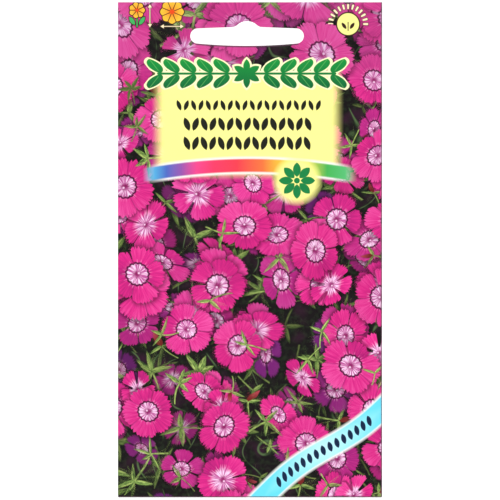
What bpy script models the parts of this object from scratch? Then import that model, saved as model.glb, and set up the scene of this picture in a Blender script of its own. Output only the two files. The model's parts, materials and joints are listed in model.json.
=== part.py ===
"""A paper seed packet that hangs from a peg by its slot.

Metres, +Z up, the front towards -Y and +X to the viewer's right. The origin is the top of the slot's arch,
where the peg bears. One sheet of paper makes the packet: it wraps round into a flat tube with a fold down
each side and a lap down the back, its two layers at the top are the header, and the lower end of the tube
is folded up onto the back. Bands of glue hold it closed, and the seeds lie at the bottom inside.
"""

import math
import random

import bmesh
import bpy
from mathutils import Euler, Matrix, Vector

# The packet
WIDTH = 0.080
HEIGHT = 0.150
PAPER = 0.00018
LAYER_GAP = 0.00014
PITCH = PAPER + LAYER_GAP
HEADER_DEPTH = 0.022

# The hanging slot, a long slot with round ends, an arch over its middle and a slightly bowed bottom
SLOT_CENTRE_TO_PACKET_CENTRE = 0.0009
ARCH_TOP_BELOW_EDGE = 0.0057
SLOT_LENGTH = 0.0344
SLOT_TOP_AT_ARCH = -0.0018
SLOT_TOP_AT_ENDS = -0.0022
SLOT_END_BOTTOM = -0.0068
SLOT_MIDDLE_BOTTOM = -0.0075
ARCH_RADIUS = 0.0044
SHOULDER_RADIUS = 0.0025

# The lap down the back
LAP_EDGE_FROM_RIGHT = 0.004
LAP_WIDTH = 0.008
RAMP_WIDTH = 0.0016
RAMP_TO_INNER_EDGE = 0.0006

# The bottom flap
FLAP_HEIGHT = 0.012
BEND_CLEARANCE = 0.00008

# How far the panels bulge, and how far above the bottom and below the header the bulge is full
FRONT_BULGE = 0.0006
BACK_BULGE = 0.0018
BULGE_RISE_AT_BOTTOM = 0.016
BULGE_RISE_AT_HEADER = 0.080

# The glue
GLUE = 0.00006
FLAP_GLUE_GAP = 0.00010
SEAM_GLUE_WIDTH = 0.0050
GLUE_END_MARGIN = 0.003
HEADER_GLUE_WIDTH = 0.072
HEADER_GLUE_BANDS = {"header_glue_upper": (0.0012, 0.0044), "header_glue_lower": (0.0150, 0.0200)}
FLAP_GLUE_FROM_SIDE = 0.004
FLAP_GLUE_LOW = 0.003
FLAP_GLUE_HIGH = 0.009

# The seeds
SEED_LENGTH = 0.0025
SEED_WIDTH = 0.0018
SEED_THICKNESS = 0.00050
SEED_FACE = 0.62
SEED_TIP = 1.12
SEED_SPACING = 0.00145
SEED_ROW_RISE = 0.00125
SEED_SHIFT = 0.00015
SEED_ROWS = (15, 14, 12, 8)
SEED_SIDES = 7
SEED_TILT = math.radians(4)
SEED_FLOOR = 0.0050
SEED_DRAW = 7

# How finely the curved stretches are divided
FRONT_STEPS = 16
BACK_STEPS = 12
FOLD_STEPS = 4
BEND_STEPS = 6
RAMP_STEPS = 2

# Places worked out from the sizes above
CENTRE_X = SLOT_CENTRE_TO_PACKET_CENTRE
TOP_Z = ARCH_TOP_BELOW_EDGE
BOTTOM_Z = TOP_Z - HEIGHT
FOLD_RADIUS = PITCH / 2
FOLD_LEFT = CENTRE_X - WIDTH / 2 + FOLD_RADIUS + PAPER / 2
FOLD_RIGHT = CENTRE_X + WIDTH / 2 - FOLD_RADIUS - PAPER / 2
HEADER_Z = TOP_Z - HEADER_DEPTH
LAP_EDGE = CENTRE_X + WIDTH / 2 - LAP_EDGE_FROM_RIGHT
INNER_EDGE = LAP_EDGE - LAP_WIDTH
RAMP_END = INNER_EDGE - RAMP_TO_INNER_EDGE
RAMP_START = RAMP_END - RAMP_WIDTH
LAP_OUTER_FACE = 3 * PITCH / 2 + PAPER / 2
BEND_Y = LAP_OUTER_FACE + BEND_CLEARANCE
BEND_Z = BOTTOM_Z + BEND_Y + PITCH / 2 + PAPER / 2
BEND_DEPTH = TOP_Z - BEND_Z
BEND_LENGTH = math.pi * BEND_Y
SHEET_DEPTH = BEND_DEPTH + BEND_LENGTH + FLAP_HEIGHT - (BEND_Z - BOTTOM_Z)


def clear_scene():
    """Remove every object that is in the scene."""
    for thing in list(bpy.data.objects):
        bpy.data.objects.remove(thing, do_unlink=True)


def finished_mesh(shape, name):
    """Turn a closed bmesh's faces outwards and make it a mesh."""
    bmesh.ops.recalc_face_normals(shape, faces=shape.faces)
    mesh = bpy.data.meshes.new(name)
    shape.to_mesh(mesh)
    shape.free()
    return mesh


def grid_faces(shape, rows):
    """Triangles over a grid of vertices, each cell split the same way."""
    for row, following in zip(rows, rows[1:]):
        for i in range(len(row) - 1):
            shape.faces.new((row[i], following[i], following[i + 1]))
            shape.faces.new((row[i], following[i + 1], row[i + 1]))


def wall_faces(shape, outer, inner):
    """Close the space between two grids of vertices of the same size: both faces and the four edges."""
    grid_faces(shape, outer)
    grid_faces(shape, inner)
    grid_faces(shape, [outer[0], inner[0]])
    grid_faces(shape, [outer[-1], inner[-1]])
    for column in (0, -1):
        grid_faces(shape, [[row[column] for row in outer], [row[column] for row in inner]])


def material(name, colour, roughness):
    """A Principled material of one colour."""
    made = bpy.data.materials.new(name)
    made.use_nodes = True
    shader = made.node_tree.nodes["Principled BSDF"]
    shader.inputs["Base Color"].default_value = (*colour, 1.0)
    shader.inputs["Roughness"].default_value = roughness
    shader.inputs["Metallic"].default_value = 0.0
    return made


def add_object(name, mesh, finish):
    """Put a mesh in the scene as a named object with its finish."""
    thing = bpy.data.objects.new(name, mesh)
    mesh.materials.append(finish)
    bpy.context.collection.objects.link(thing)
    return thing


def spread(start, end, steps):
    """Evenly spaced values from start up to, but without, end."""
    return [start + (end - start) * i / steps for i in range(steps)]


def smooth(share):
    """Ease from 0 to 1."""
    share = min(max(share, 0.0), 1.0)
    return share * share * (3 - 2 * share)


def bulge(x, z):
    """The share of the full bulge at a place on a panel: none at the folds, the header and the bottom."""
    if z >= HEADER_Z or z <= BEND_Z:
        return 0.0
    across = (x - CENTRE_X) / (FOLD_RIGHT - CENTRE_X)
    if abs(across) >= 1:
        return 0.0
    low = min((z - BEND_Z) / BULGE_RISE_AT_BOTTOM, 1.0)
    high = smooth((HEADER_Z - z) / BULGE_RISE_AT_HEADER)
    return (1 - across * across) * math.sin(low * math.pi / 2) * high


def placed(x, y, depth):
    """Where a point of the unbulged tube comes to lie, at a depth below the top edge along the sheet.

    Above the bend it hangs straight, in the bend it turns about the bend's axis, and past it the flap runs
    back up behind the back panel. The front panel bulges forward, the back panel backward, and the flap
    with it.
    """
    radius = BEND_Y - y
    turn = (depth - BEND_DEPTH) / BEND_Y
    if turn <= 0:
        z = TOP_Z - depth
        share = bulge(x, z)
        return Vector((x, y + (-FRONT_BULGE if y < 0 else BACK_BULGE) * share, z))
    if turn < math.pi:
        return Vector((x, BEND_Y - radius * math.cos(turn), BEND_Z - radius * math.sin(turn)))
    z = BEND_Z + depth - BEND_DEPTH - BEND_LENGTH
    return Vector((x, BEND_Y + radius + BACK_BULGE * bulge(x, z), z))


def fold(centre_x, start, end):
    """The half circle of a side fold, from one angle to another, without its last point."""
    return [
        (centre_x + FOLD_RADIUS * math.cos(angle), FOLD_RADIUS * math.sin(angle))
        for angle in spread(start, end, FOLD_STEPS)
    ]


def tube_section():
    """The paper's middle line seen from above, from the lap's inner edge round to its outer edge."""
    quarter = math.pi / 2
    back = PITCH / 2
    ramp = [
        (x, back + PITCH * smooth((x - RAMP_START) / RAMP_WIDTH))
        for x in spread(RAMP_START, RAMP_END, RAMP_STEPS)
    ]
    return (
        [(x, back) for x in spread(INNER_EDGE, FOLD_RIGHT, 3)]
        + fold(FOLD_RIGHT, quarter, -quarter)
        + [(x, -back) for x in spread(FOLD_RIGHT, FOLD_LEFT, FRONT_STEPS)]
        + fold(FOLD_LEFT, -quarter, -3 * quarter)
        + [(x, back) for x in spread(FOLD_LEFT, RAMP_START, BACK_STEPS)]
        + ramp
        + [(x, back + PITCH) for x in (*spread(RAMP_END, LAP_EDGE, 2), LAP_EDGE)]
    )


def offset(section, distance):
    """The section moved sideways, to its left as it runs, by a distance."""
    moved = []
    for i, (x, y) in enumerate(section):
        before = Vector(section[max(i - 1, 0)])
        after = Vector(section[min(i + 1, len(section) - 1)])
        along = (after - before).normalized()
        moved.append((x - along.y * distance, y + along.x * distance))
    return moved


def sheet_depths(first, last):
    """Depths down the sheet between two of them, close together in the bend and where the bulge grows."""
    marks = [0.0, HEADER_DEPTH]
    marks += spread(HEADER_DEPTH, BEND_DEPTH - BULGE_RISE_AT_BOTTOM, 9)[1:]
    marks += spread(BEND_DEPTH - BULGE_RISE_AT_BOTTOM, BEND_DEPTH, 6)
    marks += spread(BEND_DEPTH, BEND_DEPTH + BEND_LENGTH, BEND_STEPS)
    marks += spread(BEND_DEPTH + BEND_LENGTH, SHEET_DEPTH, 4) + [SHEET_DEPTH]
    return [first] + [mark for mark in marks if first < mark < last] + [last]


def sheet_mesh(name, section, thickness, depths):
    """A closed body: the section swept down the depths, with a wall of the thickness centred on it."""
    shape = bmesh.new()
    outer, inner = (
        [[shape.verts.new(placed(x, y, depth)) for x, y in ring] for depth in depths]
        for ring in (offset(section, thickness / 2), offset(section, -thickness / 2))
    )
    wall_faces(shape, outer, inner)
    return finished_mesh(shape, name)


def arc(centre, radius, start, end, steps):
    """Points on an arc, both ends included."""
    return [
        (centre[0] + radius * math.cos(angle), centre[1] + radius * math.sin(angle))
        for angle in (start + (end - start) * i / steps for i in range(steps + 1))
    ]


def slot_outline():
    """The slot's outline, right half from the top of the arch round to the bottom, then mirrored."""
    reach = ARCH_RADIUS + SHOULDER_RADIUS
    rise = ARCH_RADIUS + SLOT_TOP_AT_ARCH + SHOULDER_RADIUS
    shoulder = (math.sqrt(reach**2 - rise**2), SLOT_TOP_AT_ARCH + SHOULDER_RADIUS)
    tangent = math.atan2(rise, shoulder[0])
    end_radius = (SLOT_TOP_AT_ENDS - SLOT_END_BOTTOM) / 2
    end_x = SLOT_LENGTH / 2 - end_radius
    arch = arc((0.0, -ARCH_RADIUS), ARCH_RADIUS, math.pi / 2, tangent, 8)
    corner = arc(shoulder, SHOULDER_RADIUS, tangent + math.pi, 1.5 * math.pi, 5)[1:]
    end = arc((end_x, SLOT_TOP_AT_ENDS - end_radius), end_radius, math.pi / 2, -math.pi / 2, 10)
    sag = SLOT_MIDDLE_BOTTOM - SLOT_END_BOTTOM
    bow = [(x, SLOT_END_BOTTOM + sag * (1 - (x / end_x) ** 2)) for x in spread(end_x, 0.0, 6)[1:]]
    half = arch + corner + end + bow
    return half + [(0.0, SLOT_MIDDLE_BOTTOM)] + [(-x, z) for x, z in reversed(half[1:])]


def slot_cutter():
    """A guide in the shape of the slot, through both layers of the header."""
    shape = bmesh.new()
    reach = 4 * PITCH
    face = shape.faces.new([shape.verts.new((x, -reach, z)) for x, z in slot_outline()])
    swept = bmesh.ops.extrude_face_region(shape, geom=[face])
    moved = [item for item in swept["geom"] if isinstance(item, bmesh.types.BMVert)]
    bmesh.ops.translate(shape, verts=moved, vec=(0, 2 * reach, 0))
    cutter = bpy.data.objects.new("slot_cutter", finished_mesh(shape, "slot_cutter"))
    cutter.hide_render = True
    cutter.display_type = "WIRE"
    bpy.context.collection.objects.link(cutter)
    return cutter


def build_packet():
    """The sheet of paper, with the slot punched through it."""
    finish = material("packet_paper", (0.72, 0.11, 0.36), 0.35)
    mesh = sheet_mesh("packet", tube_section(), PAPER, sheet_depths(0.0, SHEET_DEPTH))
    sheet = add_object("packet", mesh, finish)
    cut = sheet.modifiers.new("slot", "BOOLEAN")
    cut.operation = "DIFFERENCE"
    cut.solver = "EXACT"
    cut.object = slot_cutter()
    return sheet


def build_seam_glue(finish):
    """The strip of glue in the lap, down the whole sheet."""
    middle = (INNER_EDGE + LAP_EDGE) / 2
    half = SEAM_GLUE_WIDTH / 2
    section = [(x, PITCH) for x in (middle - half, middle, middle + half)]
    depths = sheet_depths(GLUE_END_MARGIN, SHEET_DEPTH - GLUE_END_MARGIN)
    return add_object("seam_glue", sheet_mesh("seam_glue", section, GLUE, depths), finish)


def build_header_glue(name, depths, finish):
    """A band of glue between the header's two layers."""
    half = HEADER_GLUE_WIDTH / 2
    section = [(CENTRE_X + x, 0.0) for x in (-half, 0.0, half)]
    return add_object(name, sheet_mesh(name, section, GLUE, list(depths)), finish)


def build_bottom_glue(finish):
    """The band of glue that fills the space between the back panel and the flap, beside the lap."""
    back_face = PITCH / 2 + PAPER / 2 + FLAP_GLUE_GAP
    flap_face = 2 * BEND_Y - PITCH / 2 - PAPER / 2 - FLAP_GLUE_GAP
    left = FOLD_LEFT + FLAP_GLUE_FROM_SIDE
    right = RAMP_START - FLAP_GLUE_GAP
    columns = [*spread(left, right, BACK_STEPS), right]
    heights = [BOTTOM_Z + FLAP_GLUE_LOW + (FLAP_GLUE_HIGH - FLAP_GLUE_LOW) * i / 3 for i in range(4)]
    shape = bmesh.new()
    near, far = (
        [[shape.verts.new((x, face + BACK_BULGE * bulge(x, z), z)) for x in columns] for z in heights]
        for face in (back_face, flap_face)
    )
    wall_faces(shape, near, far)
    return add_object("bottom_glue", finished_mesh(shape, "bottom_glue"), finish)


def seed_mesh():
    """One seed: a flat oval, pointed a little at one end, thinner towards its rim."""
    shape = bmesh.new()
    rings = []
    for height, share in ((-0.5, SEED_FACE), (0.0, 1.0), (0.5, SEED_FACE)):
        ring = []
        for i in range(SEED_SIDES):
            angle = 2 * math.pi * i / SEED_SIDES
            along = SEED_LENGTH / 2 * math.cos(angle) * (SEED_TIP if i == 0 else 1.0)
            across = SEED_WIDTH / 2 * math.sin(angle)
            ring.append(shape.verts.new((share * along, SEED_THICKNESS * height, share * across)))
        rings.append(ring)
    shape.faces.new(rings[0])
    shape.faces.new(rings[-1])
    for low, high in zip(rings, rings[1:]):
        for i in range(SEED_SIDES):
            following = (i + 1) % SEED_SIDES
            shape.faces.new((low[i], low[following], high[following], high[i]))
    return finished_mesh(shape, "seed")


def seed_places():
    """Where each seed lies and how it is turned: rows that shorten upwards, midway between the panels."""
    draw = random.Random(SEED_DRAW)
    for row, count in enumerate(SEED_ROWS):
        for i in range(count):
            x = CENTRE_X + (i - (count - 1) / 2) * SEED_SPACING + draw.uniform(-SEED_SHIFT, SEED_SHIFT)
            z = BOTTOM_Z + SEED_FLOOR + row * SEED_ROW_RISE + draw.uniform(-SEED_SHIFT, SEED_SHIFT)
            y = (BACK_BULGE - FRONT_BULGE) / 2 * bulge(x, z)
            nod = draw.uniform(-SEED_TILT, SEED_TILT)
            spin = draw.uniform(0, 2 * math.pi)
            sway = draw.uniform(-SEED_TILT, SEED_TILT)
            yield Matrix.Translation((x, y, z)) @ Euler((nod, spin, sway)).to_matrix().to_4x4()


def build_seeds():
    """A shallow heap of flat seeds at the bottom of the packet, joined where they touch in one body."""
    pattern = seed_mesh()
    heap = bpy.data.collections.new("seed_heap")
    bpy.context.scene.collection.children.link(heap)
    first, *others = seed_places()
    for number, place in enumerate(others):
        seed = bpy.data.objects.new(f"seed_{number}", pattern.copy())
        seed.data.transform(place)
        heap.objects.link(seed)
    pattern.transform(first)
    seeds = add_object("seeds", pattern, material("seed_coat", (0.035, 0.025, 0.02), 0.6))
    union = seeds.modifiers.new("heap", "BOOLEAN")
    union.operation = "UNION"
    union.operand_type = "COLLECTION"
    union.collection = heap
    union.solver = "EXACT"
    bpy.context.view_layer.update()
    joined = bpy.data.meshes.new_from_object(seeds.evaluated_get(bpy.context.evaluated_depsgraph_get()))
    seeds.modifiers.remove(union)
    seeds.data = joined
    for seed in list(heap.objects):
        bpy.data.objects.remove(seed)
    bpy.data.collections.remove(heap)
    return seeds


def main():
    """Build the packet, its glue and its seeds."""
    clear_scene()
    build_packet()
    glue = material("glue", (0.82, 0.80, 0.72), 0.3)
    build_seam_glue(glue)
    for name, depths in HEADER_GLUE_BANDS.items():
        build_header_glue(name, depths, glue)
    build_bottom_glue(glue)
    build_seeds()


main()
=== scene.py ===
"""Looks of a paper seed packet: a printed blank folded into a flat tube, glued, and hung up by its slot.

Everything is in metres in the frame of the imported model: the front looks towards -Y, +X is to the right
and +Z is up, with the origin at the top of the slot's arch. The print is drawn in millimetres on the flat
blank: across, from the front panel's centre line to the right, and down, from the top edge. Its flowers,
leaves and printed shapes are sums of shader nodes, laid out by a seeded draw.
"""

from __future__ import annotations

import json
import logging
import math
import random
from dataclasses import dataclass, field
from enum import Enum
from typing import Callable, Sequence

import bpy
import numpy as np
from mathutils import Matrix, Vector

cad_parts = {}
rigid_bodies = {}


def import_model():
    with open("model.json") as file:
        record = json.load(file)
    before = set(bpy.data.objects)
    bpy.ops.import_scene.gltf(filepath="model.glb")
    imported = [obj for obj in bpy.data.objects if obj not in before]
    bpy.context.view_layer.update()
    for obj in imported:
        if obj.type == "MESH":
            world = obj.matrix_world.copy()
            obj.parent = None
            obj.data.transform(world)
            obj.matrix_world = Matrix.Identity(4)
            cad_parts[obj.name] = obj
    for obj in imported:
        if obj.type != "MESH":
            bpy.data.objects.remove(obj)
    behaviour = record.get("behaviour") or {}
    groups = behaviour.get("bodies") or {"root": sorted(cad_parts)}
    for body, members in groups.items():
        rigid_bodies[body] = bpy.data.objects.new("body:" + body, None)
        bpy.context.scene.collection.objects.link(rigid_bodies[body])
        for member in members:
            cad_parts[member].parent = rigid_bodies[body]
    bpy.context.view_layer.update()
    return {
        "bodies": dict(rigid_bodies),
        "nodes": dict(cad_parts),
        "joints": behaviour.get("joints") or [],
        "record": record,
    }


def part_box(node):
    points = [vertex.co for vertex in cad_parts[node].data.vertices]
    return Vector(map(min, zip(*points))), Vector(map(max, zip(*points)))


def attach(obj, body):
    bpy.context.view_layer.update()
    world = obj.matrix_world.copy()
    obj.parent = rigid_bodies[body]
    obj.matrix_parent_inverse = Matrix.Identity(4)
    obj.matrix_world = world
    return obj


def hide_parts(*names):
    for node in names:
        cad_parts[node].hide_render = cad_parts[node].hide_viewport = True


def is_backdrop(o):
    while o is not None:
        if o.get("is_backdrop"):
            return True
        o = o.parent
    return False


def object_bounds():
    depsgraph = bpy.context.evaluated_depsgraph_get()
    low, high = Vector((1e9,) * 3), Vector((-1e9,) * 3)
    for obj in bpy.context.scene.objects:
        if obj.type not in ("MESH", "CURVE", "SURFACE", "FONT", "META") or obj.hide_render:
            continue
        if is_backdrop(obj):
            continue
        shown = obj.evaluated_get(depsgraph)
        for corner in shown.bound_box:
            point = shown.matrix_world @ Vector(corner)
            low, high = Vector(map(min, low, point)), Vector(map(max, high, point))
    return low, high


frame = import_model()

log = logging.getLogger("seed_packet")

MM = 0.001
ROUNDING = 1e-6
BODY = "root"

Pair = tuple[float, float]
Triple = tuple[float, float, float]
Colour = Triple


def linear(red: int, green: int, blue: int) -> Colour:
    """The light that a printed colour reflects, from its channels as 0 to 255."""
    shares = (channel / 255 for channel in (red, green, blue))
    return tuple(s / 12.92 if s <= 0.04045 else ((s + 0.055) / 1.055) ** 2.4 for s in shares)


def sum_of(operation: str, turned: bool = False) -> Callable[..., Amount]:
    """Make a method of Amount from one operation of the Math node.

    Args:
        operation: Blender's name for the operation.
        turned: Whether the amount comes after the other value.

    Returns:
        The method.
    """

    def method(amount: Amount, *others: Amount | float) -> Amount:
        """Work out the operation on the amount and the others."""
        values = (*others, amount) if turned else (amount, *others)
        return amount.drawing.math(operation, *values)

    return method


class Amount:
    """A number, vector or colour that varies over a surface: a shader socket that can be reckoned with."""

    __add__, __radd__ = sum_of("ADD"), sum_of("ADD", True)
    __sub__, __rsub__ = sum_of("SUBTRACT"), sum_of("SUBTRACT", True)
    __mul__, __rmul__ = sum_of("MULTIPLY"), sum_of("MULTIPLY", True)
    __truediv__ = sum_of("DIVIDE")
    __pow__ = sum_of("POWER")
    __abs__ = sum_of("ABSOLUTE")
    floor, fraction = sum_of("FLOOR"), sum_of("FRACT")
    sine, cosine = sum_of("SINE"), sum_of("COSINE")
    least, most = sum_of("MINIMUM"), sum_of("MAXIMUM")

    def __init__(self, drawing: Drawing, socket: bpy.types.NodeSocket) -> None:
        """Keep the socket and the drawing that it belongs to."""
        self.drawing = drawing
        self.socket = socket

    def __neg__(self) -> Amount:
        """Turn the sign."""
        return self * -1.0

    def clamp(self) -> Amount:
        """Keep between 0 and 1."""
        return self.drawing.math("ADD", self, 0.0, clamp=True)

    def clamp_both(self) -> Amount:
        """Keep between -1 and 1."""
        return self.most(-1.0).least(1.0)

    def edge(self, soft: float | Amount) -> Amount:
        """From 0 outside to 1 inside, over a soft edge centred on this depth's zero."""
        return (self / soft + 0.5).clamp()


Value = Amount | float
Socket = Amount | float | Sequence[float]


class Drawing:
    """A shader node tree that is written as sums."""

    NO_SHARE = 1e-9

    def __init__(self, tree: bpy.types.NodeTree) -> None:
        """Keep the tree."""
        self.tree = tree

    def feed(self, socket: bpy.types.NodeSocket, value: Socket) -> None:
        """Link an amount to a socket, or set a plain value on it.

        Args:
            socket: The socket.
            value: The amount, number, vector or colour.
        """
        if isinstance(value, Amount):
            self.tree.links.new(value.socket, socket)
        elif isinstance(value, (int, float)):
            socket.default_value = value
        else:
            filled = len(socket.default_value)
            socket.default_value = (*value, 1.0)[:filled] if filled > len(value) else tuple(value)

    def node(
        self, kind: str, values: dict[int | str, Socket], out: int | str = 0, **settings: object
    ) -> Amount:
        """Add a node.

        Args:
            kind: The end of Blender's name for it.
            values: What its sockets are fed.
            out: Which of its results is used.
            settings: Its own settings.

        Returns:
            Its result.
        """
        node = self.tree.nodes.new(f"ShaderNode{kind}")
        for setting, value in settings.items():
            setattr(node, setting, value)
        for socket, value in values.items():
            self.feed(node.inputs[socket], value)
        return Amount(self, node.outputs[out])

    def math(self, operation: str, *values: Value, clamp: bool = False) -> Amount:
        """One operation of the Math node, kept between 0 and 1 if clamped."""
        return self.node("Math", dict(enumerate(values)), operation=operation, use_clamp=clamp)

    def mix(self, share: Value, first: Amount | Colour, second: Amount | Colour) -> Amount:
        """Mix two colours: all first at 0, all second at 1."""
        return self.node("Mix", {0: share, 6: first, 7: second}, 2, data_type="RGBA")

    def dim(self, colour: Amount, share: Value) -> Amount:
        """Multiply a colour by a share."""
        return self.node("VectorMath", {0: colour, "Scale": share}, operation="SCALE")

    def split(self, vector: Amount) -> tuple[Amount, Amount, Amount]:
        """The three parts of a vector."""
        parts = self.node("SeparateXYZ", {0: vector}).socket.node.outputs
        return tuple(Amount(self, part) for part in parts)

    def join(self, x: Value, y: Value, z: Value = 0.0) -> Amount:
        """A vector from its parts."""
        return self.node("CombineXYZ", {0: x, 1: y, 2: z})

    def after(self, colour: Amount, place: Amount) -> Amount:
        """Hold a place back until a colour is known, by a share of it that is too small to move the place.

        A shader has little room for values that wait for each other, so a long print is drawn in turn.

        Args:
            colour: The colour.
            place: The place.

        Returns:
            The same place.
        """
        values = {0: colour, 1: (self.NO_SHARE,) * 3, 2: place}
        return self.node("VectorMath", values, operation="MULTIPLY_ADD")

    def attribute(self, name: str) -> Amount:
        """A vector that the mesh carries on its corners."""
        return self.node("Attribute", {}, "Vector", attribute_name=name)

    def object_place(self) -> Amount:
        """The point's place in its object, which is its place in the packet's frame."""
        return self.node("TexCoord", {}, "Object")

    def bump(self, height: Amount) -> Amount:
        """A normal that follows a height in metres."""
        return self.node("Bump", {"Distance": 1.0, "Height": height})

    def noise(self, vector: Amount, scale: float, detail: float = 0.0) -> Amount:
        """Smooth noise, about 0.5 on average."""
        return self.node("TexNoise", {"Vector": vector, "Scale": scale, "Detail": detail})

    def chance(self, x: Value, y: Value = 0.0, z: Value = 0.0) -> Amount:
        """A number from 0 to 1 that is the same wherever the three whole numbers are."""
        return self.node("TexWhiteNoise", {"Vector": self.join(x, y, z)}, "Value", noise_dimensions="3D")

    def ramp(self, share: Amount, stops: Sequence[tuple[float, Colour]]) -> Amount:
        """A colour that runs evenly from one stop to the next.

        Args:
            share: The place between the stops.
            stops: Each stop's place and colour.

        Returns:
            The colour.
        """
        colour = self.node("ValToRGB", {0: share})
        points = colour.socket.node.color_ramp.elements
        while len(points) < len(stops):
            points.new(1.0)
        for point, (place, ink) in zip(points, stops):
            point.position = place
            point.color = (*ink, 1.0)
        return colour


class Layered:
    """A node group that draws one layer of repeated shapes over what lies under it."""

    GIVEN = {"Under": "Color", "Place": "Vector", "Tone": "Vector", "Soft": "Float"}

    def __init__(self, name: str, draw: Callable[[Drawing, Amount, Amount, Amount, Amount], Amount]) -> None:
        """Make the group.

        Args:
            name: The group's name.
            draw: Draws the layer from what is under it, its place, its tone and the softness of its edges.
        """
        self.tree = bpy.data.node_groups.new(name, "ShaderNodeTree")
        for label, kind in self.GIVEN.items():
            self.tree.interface.new_socket(label, in_out="INPUT", socket_type=f"NodeSocket{kind}")
        self.tree.interface.new_socket("Colour", in_out="OUTPUT", socket_type="NodeSocketColor")
        drawing = Drawing(self.tree)
        given = self.tree.nodes.new("NodeGroupInput")
        result = self.tree.nodes.new("NodeGroupOutput")
        values = (Amount(drawing, out) for out in given.outputs[: len(self.GIVEN)])
        drawing.feed(result.inputs[0], draw(drawing, *values))

    def over(self, drawing: Drawing, under: Amount, layer: str, soft: float) -> Amount:
        """Draw a layer over a colour.

        Args:
            drawing: The tree to draw in.
            under: The colour so far.
            layer: The name of the layer, whose attributes the mesh carries.
            soft: How wide the shapes' edges are, as a share of their reach.

        Returns:
            The colour with the layer on it.
        """
        place = drawing.after(under, drawing.attribute(f"{layer}_place"))
        tone = drawing.attribute(f"{layer}_tone")
        values = {"Under": under, "Place": place, "Tone": tone, "Soft": soft}
        return drawing.node("Group", values, node_tree=self.tree)


@dataclass(frozen=True)
class PinkColours:
    """The inks that a pink's flower is printed in."""

    petal: Colour = linear(220, 36, 132)
    lit: Colour = linear(243, 94, 173)
    shade: Colour = linear(164, 20, 106)
    violet: Colour = linear(108, 30, 120)
    eye: Colour = linear(248, 208, 238)
    eye_streak: Colour = linear(190, 84, 152)
    ring: Colour = linear(84, 12, 58)
    throat: Colour = linear(138, 26, 92)
    ray: Colour = linear(252, 160, 212)


@dataclass(frozen=True)
class LeafColours:
    """The inks that leaves and stems are printed in."""

    dark: Colour = linear(44, 70, 34)
    mid: Colour = linear(108, 146, 66)
    lit: Colour = linear(188, 212, 116)
    bud: Colour = linear(118, 34, 30)
    bud_tip: Colour = linear(190, 70, 84)


PETALS = 5


def draw_pink(d: Drawing, under: Amount, place: Amount, tone: Amount, soft: Amount) -> Amount:
    """Draw the open flowers of one layer: five wedge petals with toothed edges round a pale, ringed eye.

    Args:
        d: The drawing.
        under: The colour under the flowers.
        place: Where the point lies in its flower, as shares of the petals' reach, and the flower's own
            number, which is below 0 on a flower without a ring.
        tone: How light the flower is, how violet, and how broad its petals are.
        soft: How wide its edges are.

    Returns:
        The colour with the flowers on it.
    """
    ink = PinkColours()
    u, v, number = d.split(place)
    light, violet, breadth = d.split(tone)
    out = (u * u + v * v) ** 0.5
    sector = d.math("ARCTAN2", v, u) * (PETALS / (2 * math.pi)) + PETALS / 2
    petal = sector.floor()
    across = (sector - petal) * 2 - 1
    side = abs(across)
    luck = d.chance(petal, number)
    second_luck = d.chance(petal + 11, number)
    slope = u * 0.20 - v * 0.14
    gap = 1 - breadth

    corner = gap * 0.9 + 0.11 + (second_luck - 0.6).clamp() * 0.3
    crown = (luck * 0.15 + 0.85) * (1 - side * side * 0.055 - side**7 * corner)
    tooth = across * (luck * 1.2 + 3.6) + (across * 6 + luck * 9).sine() * 0.3 + luck * 7
    notch = abs(tooth.fraction() * 2 - 1)
    rim = crown - notch * (d.chance(tooth.floor(), petal, number) * 0.10 + 0.02)
    slit = (second_luck - 0.66).clamp() * 0.9
    sector_half = out * (math.pi / PETALS)
    room = (1 - slit - gap - across).least(across + 1.03 - gap) * sector_half
    depth = (rim - out).least(room.most(0.34 - gap * 0.3 - out))
    shown = depth.edge(soft)

    vein = d.noise(d.join(across * 3.6 + petal * 5.3, out * 1.0, number * 40), 1.6, 2.0)
    fine = d.noise(d.join(across * 11 + petal * 9.1, out * 1.4, number * 23), 1.6, 1.0)
    lobe = (luck - 0.5) * 0.6 + across * (second_luck - 0.5) * 0.55 + slope
    overlap = ((-across - 0.86) * 8).clamp()
    relief = (vein - 0.5) * 1.15 + (fine - 0.5) * 1.0 + lobe + (out - 0.7) * 0.4
    body = d.mix((relief * 0.9 + 0.06).clamp(), ink.petal, ink.lit)
    body = d.mix((relief * -1.3 - 0.04).clamp(), body, ink.shade)
    body = d.mix(overlap * 0.55, body, ink.shade)
    body = d.mix(violet, body, ink.violet)

    has_ring = (number * 20).clamp()
    scallop = abs((sector * (3 * math.pi)).sine())
    eye_edge = scallop * 0.035 + (1 - has_ring) * 0.02 + 0.33
    spoke = d.noise(d.join(sector * 6.6, out * 1.2, number * 31), 1.8, 1.0)
    rays = d.noise(d.join(sector * 7.5, 0.0, number * 13), 1.8, 0.0)
    ray = ((rays - 0.52) * 9).clamp() * ((0.50 + (1 - has_ring) * 0.06 - out) * 7).clamp()
    body = d.mix(ray * 0.7, body, ink.ray)
    eye = d.mix(((spoke - 0.44) * 7).clamp(), ink.eye_streak, ink.eye)
    heart = (spoke - 0.5) * 0.45 + 0.09
    eye = d.mix((heart - out).edge(0.06), eye, ink.throat)
    anthers = ((u - 0.045) ** 2 + (v + 0.035) ** 2) ** 0.5
    eye = d.mix((0.032 - anthers).edge(0.03), eye, ink.eye)
    body = d.mix((eye_edge - out).edge((1 - has_ring) * 0.12 + 0.03), body, eye)
    ring = (spoke - 0.5) * 0.03 + 0.030
    body = d.mix((ring - abs(out - eye_edge)).edge(0.022) * has_ring, body, ink.ring)
    body = d.dim(body, light)

    halo = (1 - (out - crown).most(0.0) * 5).clamp()
    shaded = d.dim(under, 1 - halo * halo * 0.6)
    return d.mix(shown, shaded, body)


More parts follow.
